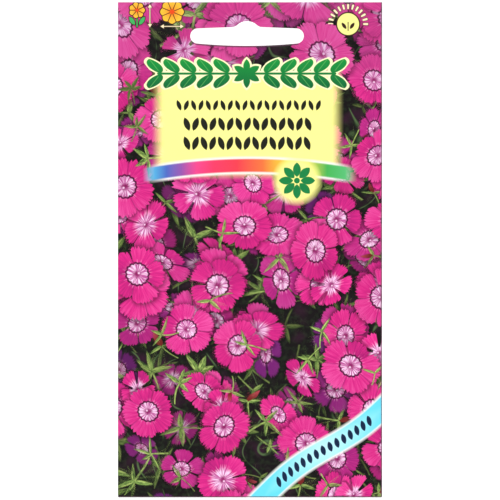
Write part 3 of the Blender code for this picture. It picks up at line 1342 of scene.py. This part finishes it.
@dataclass
class FrontPrint(Print):
    """The print of the front: a picture of pinks, a feathered yellow panel and plain printed ornament."""

    layers: list[MotifLayer]
    half: float
    bend_down: float
    slot_middle: float
    haze_end: float = 26.0
    haze_fade: float = 8.0
    haze_share: float = 0.40
    panel_middle: Pair = (-0.7, 36.7)
    panel_half: Pair = (27.0, 15.1)
    panel_feather: float = 4.6
    garland: Spot = Spot(-1.0, 21.6, 4.4)
    garland_heart: tuple[int, float, float, float] = (6, 1.05, 0.0, math.pi / 6)
    garland_stem: Pair = (26.8, 0.34)
    garland_vein: Triple = (0.07, 0.9, 4.4)
    garland_start: float = 3.3
    garland_pitch: float = 5.05
    garland_slant: float = math.radians(52)
    garland_leaf: Pair = (5.6, 1.62)
    garland_pairs: int = 5
    garland_outline: float = 0.55
    rainbow_half: float = 32.4
    rainbow_crown: float = 49.4
    rainbow_sag: float = 3.0
    rainbow_width: float = 2.0
    rainbow_glow: Triple = (0.6, 0.8, 0.95)
    star: Spot = Spot(14.2, 54.0, 5.5)
    star_glow: float = 1.1
    star_leaves: tuple[int, float, float] = (8, 1.2, 1.1)
    star_heart: float = 0.9
    ribbon_start: Pair = (4.5, 149.3)
    ribbon_turn: float = math.radians(-37.1)
    ribbon_half: float = 3.0
    ribbon_pale_at: float = 23.0
    ribbon_pale_reach: float = 20.0
    ribbon_wave: Pair = (0.13, 1.1)
    ribbon_pitch: float = 2.35
    ribbon_marks: Pair = (4.7, 40.0)
    ribbon_mark: Pair = (3.2, 0.78)
    small_flower: Spot = Spot(-34.2, 2.4, 2.4)
    small_plant: Pair = (5.0, 4.4)
    big_flower: Spot = Spot(-23.6, 2.9, 3.6)
    upright_arrow: Pair = (-30.3, 4.1)
    level_arrow: float = 7.3
    arrow_sizes: Triple = (3.5, 1.0, 0.12)
    sun: Spot = Spot(29.7, 6.6, 3.3)
    sun_rays: int = 24
    sun_ray: Triple = (5.3, 0.5, 0.3)
    sun_sprout: Pair = (2.0, 3.6)
    leaf_frame: float = 0.22
    petal_frame: float = 0.30
    line_frame: float = 0.16
    disc_frame: float = 0.38
    slot_half: float = 15.0
    slot_bottom: float = 13.2
    slot_bow: float = 0.7
    picture_end: float = 0.9
    # painted shade lines: each a half width and an offset from its fold or edge, and below, how much print
    # shows through them
    fold_shade_line: Pair = (0.34, 0.22)
    bend_shade_line: Pair = (0.5, 0.85)
    slot_shade_line: Pair = (0.24, 0.22)
    fold_shade_share: float = 0.75
    slot_shade_share: float = 0.8
    ink: PrintedInks = PrintedInks()

    HUES = (
        (0.0, linear(90, 210, 240)),
        (0.11, linear(76, 104, 190)),
        (0.18, linear(146, 84, 168)),
        (0.25, linear(234, 70, 138)),
        (0.33, linear(238, 60, 100)),
        (0.44, linear(244, 62, 78)),
        (0.56, linear(246, 116, 62)),
        (0.70, linear(252, 226, 60)),
        (0.86, linear(70, 176, 84)),
        (1.0, linear(96, 196, 130)),
    )
    SEED_ROWS = (
        (31.2, -22.6, 20, 2.22, 1.7, 0.66),
        (36.9, -20.4, 15, 2.62, 2.15, 0.92),
        (42.7, -20.4, 15, 2.60, 2.2, 0.92),
    )

    def draw(self, d: Drawing, plain: Amount) -> Amount:
        """Draw the whole print.

        Args:
            d: The material's drawing.
            plain: The colour of the paper where the picture has ended.

        Returns:
            The print's colour.
        """
        self.start(d)
        self.start(d, self._picture())
        self._haze()
        self._panel()
        self._rainbow()
        self._garland()
        self._seed_rows()
        self.start(d, self.colour)
        self._star()
        self._ribbon()
        self._signs()
        self._sun()
        self._painted_fold_shade()
        inside = (self.half + self.picture_end) - abs(self.across)
        return d.mix(inside.edge(0.3), plain, self.colour)

    def _picture(self) -> Amount:
        """Draw the flowers and leaves, one layer over the other, on a dark ground.

        Returns:
            The picture's colour.
        """
        d, ink = self.drawing, self.ink
        place = d.join(self.across, self.down)
        wide = d.noise(place, 0.16, 1.0)
        fine = d.noise(place, 0.7, 2.0)
        colour = d.mix(((fine - 0.5) * 4 + 0.2).clamp(), ink.gap, ink.gap_green)
        colour = d.mix(((wide - 0.52) * 5).clamp(), colour, ink.gap_wine)
        bent = self.across + (d.noise(place, 0.07, 0.0) - 0.5) * 26
        strand = abs((bent * 0.16).fraction() - 0.5) * 6.2
        stem = (0.22 - strand).edge(0.3) * ((wide - 0.45) * 8).clamp()
        colour = d.mix(stem * 0.5, colour, ink.stem)
        drawers = {Motifs.PINKS: draw_pink, Motifs.LEAVES: draw_leaves}
        groups = {kind: Layered(kind.value, drawer) for kind, drawer in drawers.items()}
        for layer in self.layers:
            colour = groups[layer.kind].over(d, colour, layer.name, layer.soft)
        return colour

    def _haze(self) -> None:
        """Draw the paler, cooler pink of the petals on the header."""
        red, _, _ = self.drawing.split(self.colour)
        share = ((self.haze_end - self.down) / self.haze_fade).clamp() * self.haze_share
        self.blend(share * red, self.ink.haze)

    def _panel(self) -> None:
        """Draw the yellow panel, feathered into the picture."""
        x = self.across - self.panel_middle[0]
        y = self.down - self.panel_middle[1]
        share = self.box(x, y, *self.panel_half).edge(self.panel_feather)
        self.blend(share * share * (3 - 2 * share), self.ink.panel)

    def _rainbow(self) -> None:
        """Draw a low arch that runs through the rainbow's colours."""
        share = self.across / self.rainbow_half
        middle = share * share * self.rainbow_sag + self.rainbow_crown
        depth = self.rainbow_width - abs(self.down - middle)
        ends = ((1 - abs(share)) * 9).clamp()
        glow_ends = ((0.97 - abs(share)) * 5).clamp()
        hue = self.drawing.ramp(share * 0.5 + 0.5, self.HUES)
        reach, soft, strength = self.rainbow_glow
        self.blend((depth + reach).edge(soft) * glow_ends * strength, self.ink.glow)
        self.blend(depth.edge(0.5) * ends, hue)

    def _garland(self) -> None:
        """Draw green leaves in pairs along a stem, from the middle outwards, with a pale outline."""
        ink, garland = self.ink, self.garland
        aside = abs(self.across - garland.across)
        above = abs(self.down - garland.down)
        slant = math.sin(self.garland_slant)
        place = (aside - self.garland_start - above / math.tan(self.garland_slant)) / self.garland_pitch
        pair = place.floor()
        off = (place - pair - 0.5) * (self.garland_pitch * slant)
        leaves = self.lens(above / slant - 0.1, off, *self.garland_leaf)
        leaves = leaves.least((pair + 0.5) * 9).least((self.garland_pairs - 0.5 - pair) * 9)
        stem = self.stroke(aside, above, *self.garland_stem)
        heart = self.rosette(garland, *self.garland_heart)
        blend = ((self.down - garland.down) / 9 + 0.5).clamp()
        green = self.drawing.mix(blend, ink.leaf_top, ink.leaf_foot)
        self.framed(leaves.most(stem).most(heart), self.garland_outline, ink.leaf_edge, green)
        half, near, far = self.garland_vein
        vein = (half - abs(off)).least(leaves - 0.25).least(far - above).least(above - near)
        self.over(vein, ink.leaf_vein, 0.16)

    def _seed_rows(self) -> None:
        """Draw rows of dark seeds across the panel."""
        for down, start, count, pitch, half_height, half_width in self.SEED_ROWS:
            place = (self.across - start) / pitch
            seed = place.floor()
            lean = (seed / 2).fraction() * 4 - 1
            aside = (place - seed - 0.5) * pitch
            along = self.down - down
            off = aside * 0.94 + along * lean * 0.34
            along = along * 0.94 - aside * lean * 0.34 + half_height
            depth = self.lens(along, off, half_height * 2, half_width)
            depth = depth.least((seed + 0.5) * 9).least((count - 0.5 - seed) * 9)
            self.over(depth, self.ink.seed, 0.12)

    def _star(self) -> None:
        """Draw a ring of green leaves under the panel, on a pale glow."""
        leaves = self.rosette(self.star, *self.star_leaves)
        heart = self.disc(self.star.sized(self.star_heart))
        self.over(self.disc(self.star.sized(self.star.reach + self.star_glow)), self.ink.panel, 2.4)
        self.over(leaves.most(heart), self.ink.star)

    def _ribbon(self) -> None:
        """Draw the pale blue ribbon across the lower right corner, with a row of small marks on it."""
        ink = self.ink
        x = self.across - self.ribbon_start[0]
        y = self.down - self.ribbon_start[1]
        along, aside = self.turned(x, y, self.ribbon_turn)
        pace, swing = self.ribbon_wave
        bent = aside + (along * pace).sine() * swing
        depth = self.ribbon_half - abs(bent)
        self.over(depth + 0.5, ink.glow, 0.9)
        off_pale = abs(along - self.ribbon_pale_at) / self.ribbon_pale_reach
        pale = (1.2 - off_pale - abs(bent) * 0.12).clamp()
        self.over(depth, self.drawing.mix(pale, ink.ribbon, ink.ribbon_pale), 0.5)
        place = along / self.ribbon_pitch
        mark = (place - place.floor() - 0.5) * self.ribbon_pitch
        length, half = self.ribbon_mark
        row = self.lens(bent + length / 2, mark + bent * 0.3, length, half)
        first, last = self.ribbon_marks
        self.over(row.least((along - first) * 4).least((last - along) * 4), ink.ribbon_mark)

    def _signs(self) -> None:
        """Draw the little pictures of a flower, with an arrow along its height and one along its width."""
        ink, small, big = self.ink, self.small_flower, self.big_flower
        foot, size = self.small_plant
        plant = self.sprout(self.across - small.across, self.down - (small.down + foot), size)
        self.framed(plant, self.leaf_frame, ink.sign_edge, ink.sign_leaf)
        for spot, count, half in ((small, 7, 0.92), (big, 8, 1.38)):
            petals = self.rosette(spot, count, half, spot.reach * 0.1, gap=0.13)
            self.over(petals + self.petal_frame, ink.sign_edge)
            fade = (self.disc(spot) / spot.reach).clamp()
            self.over(petals, self.drawing.mix(fade * fade, ink.sign_petal, ink.sign_heart), 0.12)
            self.over(self.disc(spot.sized(spot.reach * 0.2)), ink.sign_heart, 0.3)
        x, y = self.upright_arrow
        upright = self.arrow(self.down - y, self.across - x, *self.arrow_sizes)
        level = self.arrow(self.across - big.across, self.down - self.level_arrow, *self.arrow_sizes)
        for depth in (upright, level):
            self.framed(depth, self.line_frame, ink.sign_edge, ink.arrow)

    def _sun(self) -> None:
        """Draw the yellow disc with a sprout, and the short rays over it."""
        ink = self.ink
        disc = self.disc(self.sun)
        x = self.across - self.sun.across
        y = self.down - self.sun.down
        step = 2 * math.pi / self.sun_rays
        angle = self.drawing.math("ARCTAN2", y, x)
        number = (angle / step + 0.5).floor()
        off = angle - number * step
        out = self.reach(x, y)
        reach, half_length, half_width = self.sun_ray
        rays = self.stroke(out - reach, off * reach, half_length, half_width)
        rays = rays.least((self.sun_rays / 4 + 0.5 - abs(number + self.sun_rays / 4)) * 4)
        self.framed(rays, self.line_frame, ink.sign_edge, ink.arrow)
        self.framed(disc, self.disc_frame, ink.sign_edge, ink.disc)
        foot, size = self.sun_sprout
        self.over(self.sprout(x, y - foot, size), ink.sign_edge)

    def _painted_fold_shade(self) -> None:
        """Draw painted shade as thin dark lines along the right fold, the bottom bend and the slot's lower
        edge.
        """
        ink = self.ink
        lines = ((self.across, self.half, self.fold_shade_line), (self.down, self.bend_down, self.bend_shade_line))
        # painted shade where the sheet turns away from the light, at the right fold and the bottom bend
        for place, middle, (width, off) in lines:
            self.dulled(width - abs(place - (middle + off)), self.fold_shade_share, ink.fold_shade)
        # painted shadow along the slot's lower edge
        share = ((self.across - self.slot_middle) / self.slot_half).clamp_both()
        lower = self.slot_bottom - share * share * self.slot_bow
        width, off = self.slot_shade_line
        line = width - abs(self.down - lower - off)
        line = line.least(self.slot_half + 0.6 - abs(self.across - self.slot_middle))
        self.dulled(line, self.slot_shade_share, ink.fold_shade, 0.16)


@dataclass
class BackPrint(Print):
    """The print of the back, a guess: a pale sheet with plain bars and a table of months."""

    middle: float
    paper: Colour = linear(236, 234, 216)
    band: Colour = linear(120, 178, 86)
    band_pale: Colour = linear(206, 226, 158)
    bar: Colour = linear(118, 122, 112)
    line: Colour = linear(150, 160, 140)
    sowing: Colour = linear(132, 190, 96)
    season: Colour = linear(236, 120, 176)
    past_sides: float = 60.0
    header_band: Pair = (14.8, 15.8)
    header_rim: Pair = (31.6, 0.4)
    foot_band: Pair = (132.0, 1.2)
    bars_start: Pair = (-28.0, 38.0)
    bar_pitch: Pair = (11.0, 2.6)
    bar_shift: float = 8.0
    bar_half: Pair = (2.6, 2.2)
    bar_height: float = 0.34
    bars_middle: Pair = (-1.0, 62.0)
    bars_reach: Pair = (29.0, 24.0)
    table_start: Pair = (-31.0, 94.0)
    cell: Pair = (5.0, 6.0)
    cell_gap: float = 0.15
    months: int = 12

    def draw(self, d: Drawing) -> Amount:
        """Draw the back's print, on a place that counts from the back's own middle.

        Args:
            d: The material's drawing.

        Returns:
            The print's colour.
        """
        self.start(d)
        self.across = self.across - self.middle
        self.colour = d.mix(0.0, self.paper, self.paper)
        self._bands()
        self._bars()
        self._months()
        return self.colour

    def _bands(self) -> None:
        """Draw the green header and the narrow bands under it and over the bottom."""
        inks = (self.band, self.band, self.band_pale)
        for (down, half), ink in zip((self.header_band, self.foot_band, self.header_rim), inks):
            self.over(self.box(self.across, self.down - down, self.past_sides, half), ink)

    def _bars(self) -> None:
        """Draw rows of thin grey bars of uneven length."""
        d = self.drawing
        start, top = self.bars_start
        pitch, row_pitch = self.bar_pitch
        row = ((self.down - top) / row_pitch).floor()
        off = self.down - top - (row + 0.5) * row_pitch
        shift = d.chance(row, 3.0) * self.bar_shift
        word = ((self.across - start + shift) / pitch).floor()
        middle = (word + 0.5) * pitch + start - shift
        half = d.chance(row, word) * self.bar_half[1] + self.bar_half[0]
        depth = self.stroke(self.across - middle, off, half, self.bar_height)
        x, y = self.bars_middle
        zone = self.box(self.across - x, self.down - y, *self.bars_reach)
        self.over(depth.least(zone), self.bar, 0.2)

    def _months(self) -> None:
        """Draw a table of months in three rows: their heads, the sowing months and the flowering months."""
        wide, high = self.cell
        half_table = (self.months * wide / 2, 1.5 * high)
        x = self.across - self.table_start[0]
        y = self.down - self.table_start[1]
        column = (x / wide).floor()
        row = (y / high).floor()
        off_x = x - (column + 0.5) * wide
        off_y = y - (row + 0.5) * high
        table = self.box(x - half_table[0], y - half_table[1], *half_table)
        gap = self.cell_gap
        cell = self.box(off_x, off_y, wide / 2 - gap, high / 2 - gap).least(table)
        self.over(table + 0.3, self.line)
        self.over(cell, self.paper)
        runs = ((0, 5.5, 6.5, self.band_pale), (1, 2.5, 1.5, self.sowing), (2, 6.0, 2.0, self.season))
        for line, middle, half, ink in runs:
            run = ((half + 0.25 - abs(column - middle)) * 5).least((0.5 - abs(row - line)) * 5)
            self.over(run.least(cell), ink, 0.2)


@dataclass(frozen=True)
class Finish:
    """How a surface looks but for its print: a fine and a broad noise vary its tint, gloss and height.

    Each noise is a scale a metre and a detail. The tint runs from the first colour to the second, by a share
    of the fine noise and one of the broad noise over a start.
    """

    fine: Pair = (1 / MM, 0.0)
    broad: Pair = (1 / MM, 0.0)
    colours: tuple[Colour, Colour] = (linear(255, 255, 255), linear(255, 255, 255))
    tint: Triple = (0.0, 0.0, 0.5)
    roughness: float = 0.5
    rough_spread: Pair = (0.0, 0.0)
    specular: float = 0.5
    height: Pair = (0.0, 0.0)

    def material(self, name: str, draw: Callable[[Drawing], Amount] | None = None) -> bpy.types.Material:
        """Make the material.

        Args:
            name: Its name.
            draw: Draws the print's colour, where it has a print.

        Returns:
            The material.
        """
        material = bpy.data.materials.new(name)
        material.use_nodes = True
        d = Drawing(material.node_tree)
        shader = material.node_tree.nodes["Principled BSDF"]
        shader.inputs["Specular IOR Level"].default_value = self.specular
        colour = draw(d) if draw else None
        place = d.object_place()
        fine = d.noise(place, *self.fine)
        broad = d.noise(place, *self.broad)
        if colour is None:
            share = (fine - 0.5) * self.tint[0] + (broad - 0.5) * self.tint[1] + self.tint[2]
            colour = d.mix(share.clamp(), *self.colours)
        rough = self.roughness
        if any(self.rough_spread):
            rough = (fine - 0.5) * self.rough_spread[0] + (broad - 0.5) * self.rough_spread[1] + rough
        relief = d.bump(fine * self.height[0] + broad * self.height[1])
        for socket, value in (("Base Color", colour), ("Roughness", rough), ("Normal", relief)):
            d.feed(shader.inputs[socket], value)
        return material


@dataclass(frozen=True)
class PrintedPaper(Finish):
    """The face of coated paper: printed, semi-gloss, with the faint grain of the sheet."""

    fine: Pair = (1 / (0.35 * MM), 2.0)
    broad: Pair = (1 / (5.0 * MM), 1.0)
    roughness: float = 0.40
    rough_spread: Pair = (0.10, 0.10)
    specular: float = 0.13
    height: Pair = (0.006 * MM, 0.05 * MM)


@dataclass(frozen=True)
class RawPaper(Finish):
    """The unprinted side and the cut edges of the paper: matt, off-white and fibrous."""

    fine: Pair = (1 / (0.25 * MM), 3.0)
    broad: Pair = (1 / (2.5 * MM), 2.0)
    colours: tuple[Colour, Colour] = (linear(244, 242, 234), linear(222, 218, 208))
    tint: Triple = (2.0, 1.5, 0.3)
    roughness: float = 0.85
    specular: float = 0.2
    height: Pair = (0.008 * MM, 0.0)


@dataclass(frozen=True)
class DriedGlue(Finish):
    """Dried paper glue: pale, a little glossy and unevenly spread."""

    fine: Pair = (600.0, 3.0)
    colours: tuple[Colour, Colour] = (linear(236, 232, 214), linear(206, 196, 160))
    tint: Triple = (1.0, 0.0, 0.5)
    roughness: float = 0.45
    rough_spread: Pair = (0.3, 0.0)
    height: Pair = (0.02 * MM, 0.0)


@dataclass(frozen=True)
class SeedCoat(Finish):
    """The coat of a seed: almost black, dull and finely pitted."""

    fine: Pair = (9000.0, 2.0)
    broad: Pair = (700.0, 1.0)
    colours: tuple[Colour, Colour] = (linear(44, 36, 32), linear(82, 68, 56))
    tint: Triple = (0.0, 1.0, 0.5)
    roughness: float = 0.7
    height: Pair = (0.04 * MM, 0.0)


@dataclass
class Packet:
    """The packet's sheet: its printed front with the folded-up flap, and its back with the lap."""

    panel_step: float = 0.85 * MM
    foot_step: float = 0.55 * MM
    foot: float = 14.0 * MM
    fold_steps: int = 10
    bend_steps: int = 12
    ramp_steps: int = 8
    off_back: float = 500.0

    def build(self) -> None:
        """Fold, punch and dress both pieces."""
        blank = Blank()
        relief = Relief(blank.centre, blank.bottom, blank.half, blank.top - blank.header)
        rows, columns = self._grid(blank)
        cutter = SlotShape().cutter()
        layers = print_layers()
        raw = RawPaper().material("raw_paper")
        faces = self._faces(blank, layers)
        for name, face in faces.items():
            piece = SheetPiece(name, blank, relief, columns[name], rows)
            piece.object.data.materials.append(face)
            piece.object.data.materials.append(raw)
            piece.thicken()
            piece.punch(cutter)
            piece.map_edges()
            piece.finish()
            piece.write_print(layers if name == "printed_front" else [])
            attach(piece.object, BODY)
            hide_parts("packet")
            log.info("%s: %d faces, rides on %s", name, len(piece.object.data.polygons), BODY)
        bpy.data.objects.remove(cutter)

    def _faces(self, blank: Blank, layers: list[MotifLayer]) -> dict[str, bpy.types.Material]:
        """Make the printed face of each piece.

        Args:
            blank: The blank.
            layers: The layers of the flower picture.

        Returns:
            The material of each piece.
        """
        front = FrontPrint(layers, blank.half / MM, blank.bend_down / MM, -blank.centre / MM)
        back = BackPrint((blank.back_start - blank.half) / MM)
        bare = BackPrint(self.off_back)
        finish = PrintedPaper()
        return {
            "printed_front": finish.material("front_print", lambda d: front.draw(d, bare.draw(d))),
            "back_panel": finish.material("back_print", back.draw),
        }

    def _grid(self, blank: Blank) -> tuple[list[float], dict[str, list[float]]]:
        """Lay out where the sheet has vertices: close together on its folds and at its foot.

        Args:
            blank: The blank.

        Returns:
            The places down the blank, and those across it for each piece, from left to right.
        """
        fold_step = blank.fold_length / self.fold_steps
        left = blank.centre - blank.half
        down = (
            (0.0, self.panel_step),
            (blank.bend_down - self.foot, self.foot_step),
            (blank.bend_down, blank.bend_length / self.bend_steps),
            (blank.bend_down + blank.bend_length, self.panel_step),
            (blank.down_end, self.panel_step),
        )
        front = (
            (blank.back_start, fold_step),
            (-blank.half, self.panel_step),
            (blank.half, fold_step),
            (blank.half + blank.fold_length, 2 * self.panel_step),
            (blank.inner_end, self.panel_step),
        )
        back = (
            (blank.lap_end, self.panel_step),
            (blank.back_start - (blank.ramp_end - left), blank.ramp / self.ramp_steps),
            (blank.back_start - (blank.ramp_start - left), self.panel_step),
            (blank.back_start, self.panel_step),
        )
        return stations(down), {"printed_front": stations(front), "back_panel": stations(back)}


@dataclass
class Filling:
    """What the packet holds and what joins it: glue and seeds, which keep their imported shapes."""

    glue_nodes: tuple[str, ...] = ("seam_glue", "header_glue_upper", "header_glue_lower", "bottom_glue")

    def dress(self) -> None:
        """Give the glue and the seeds their finishes."""
        glue = DriedGlue().material("paper_glue")
        seed = SeedCoat().material("seed_coat")
        for name, material in [*((n, glue) for n in self.glue_nodes), ("seeds", seed)]:
            node = frame["nodes"][name]
            node.data.materials.clear()
            node.data.materials.append(material)
            log.info("%s: dressed", name)


@dataclass
class Studio:
    """A plain pale floor that sweeps up all round, soft light, and the camera of the photograph."""

    lens: float = 150.0
    sensor: float = 36.0
    field_width: float = 151.7 * MM
    floor_gap: float = 0.035
    depth: float = 1.6
    near: float = -5.0
    width: float = 9.0
    height: float = 2.4
    sweep: float = 0.7
    sweep_steps: int = 24
    white: float = 0.93
    glow: float = 0.34
    world: float = 0.27

    LIGHTS = (
        ("key_light", (-0.85, -0.75, 0.65), 0.9, 7.1),
        ("fill_light", (1.3, -1.1, 0.6), 1.2, 7.8),
        ("back_light", (0.2, 0.9, 0.9), 1.0, 3.2),
    )

    def build(self) -> None:
        """Set the stage, the lights and the camera."""
        low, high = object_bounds()
        middle = (Vector(low) + Vector(high)) / 2
        self._floor(low[2] - self.floor_gap)
        self._world()
        self._lights(middle)
        self._camera(middle)

    def _floor(self, level: float) -> None:
        """Lay the floor, which curves up all round into the backdrop, as one swept sheet.

        Args:
            level: The floor's height.
        """
        across = self._sweep(-self.width / 2, self.width / 2)
        along = self._sweep(self.near, self.depth)
        bpy.ops.object.select_all(action="DESELECT")
        bpy.ops.mesh.primitive_grid_add(
            x_subdivisions=len(across) - 1, y_subdivisions=len(along) - 1, size=1
        )
        floor = bpy.context.object
        floor.name = "studio_floor"
        for i, vertex in enumerate(floor.data.vertices):
            x, x_rise = across[i % len(across)]
            y, y_rise = along[i // len(across)]
            vertex.co = (x, y, level + x_rise + y_rise)
        bpy.ops.object.shade_smooth()
        floor.data.materials.append(self._white())
        floor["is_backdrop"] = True

    def _white(self) -> bpy.types.Material:
        """Make the floor's dull white, which gives a little light of its own.

        Returns:
            The material.
        """
        material = bpy.data.materials.new("studio_white")
        material.use_nodes = True
        shader = material.node_tree.nodes["Principled BSDF"]
        shader.inputs["Base Color"].default_value = (self.white, self.white, self.white, 1)
        shader.inputs["Roughness"].default_value = 1.0
        shader.inputs["Specular IOR Level"].default_value = 0.0
        shader.inputs["Emission Color"].default_value = (1, 1, 1, 1)
        shader.inputs["Emission Strength"].default_value = self.glow
        return material

    def _sweep(self, start: float, end: float) -> list[Pair]:
        """Divide the stage one way: flat, with a curve up to a wall at both ends.

        Args:
            start: Where the stage starts.
            end: Where it ends.

        Returns:
            Places along it, each with how far the floor has risen there.
        """
        turns = [math.pi / 2 * i / self.sweep_steps for i in range(self.sweep_steps + 1)]
        curve = [(self.sweep * math.sin(turn), self.sweep * (1 - math.cos(turn))) for turn in turns]
        curve.append((self.sweep, self.height))
        first = [(start + self.sweep - run, rise) for run, rise in reversed(curve)]
        return first + [(end - self.sweep + run, rise) for run, rise in curve]

    def _world(self) -> None:
        """Set even grey surroundings."""
        world = bpy.data.worlds.new("studio_room")
        bpy.context.scene.world = world
        world.use_nodes = True
        shade = world.node_tree.nodes["Background"]
        shade.inputs["Color"].default_value = (1, 1, 1, 1)
        shade.inputs["Strength"].default_value = self.world

    def _lights(self, middle: Vector) -> None:
        """Set three large soft lights: the key upper left, a fill right and one from above behind.

        Args:
            middle: The packet's middle, which they face.
        """
        for name, offset, size, power in self.LIGHTS:
            light = bpy.data.lights.new(name, "AREA")
            light.shape = "SQUARE"
            light.size = size
            light.energy = power
            lamp = bpy.data.objects.new(name, light)
            bpy.context.collection.objects.link(lamp)
            lamp.location = middle + Vector(offset)
            lamp.rotation_euler = (-Vector(offset)).to_track_quat("-Z", "Y").to_euler()
            lamp.visible_camera = False

    def _camera(self, middle: Vector) -> None:
        """Set the camera, square on to the front.

        Args:
            middle: The packet's middle, which it faces.
        """
        data = bpy.data.cameras.new("photo_camera")
        data.lens = self.lens
        data.sensor_width = self.sensor
        data.dof.use_dof = False
        camera = bpy.data.objects.new("photo_camera", data)
        bpy.context.collection.objects.link(camera)
        distance = self.field_width * self.lens / self.sensor
        camera.location = (middle.x, middle.y - distance, middle.z)
        camera.rotation_euler = (math.pi / 2, 0, 0)
        bpy.context.scene.camera = camera
        bpy.context.scene.view_settings.view_transform = "Standard"


def main() -> None:
    """Build the packet, its filling and the studio."""
    logging.basicConfig(level=logging.INFO, format="%(name)s: %(message)s")
    Packet().build()
    Filling().dress()
    Studio().build()


if __name__ == "__main__":
    main()
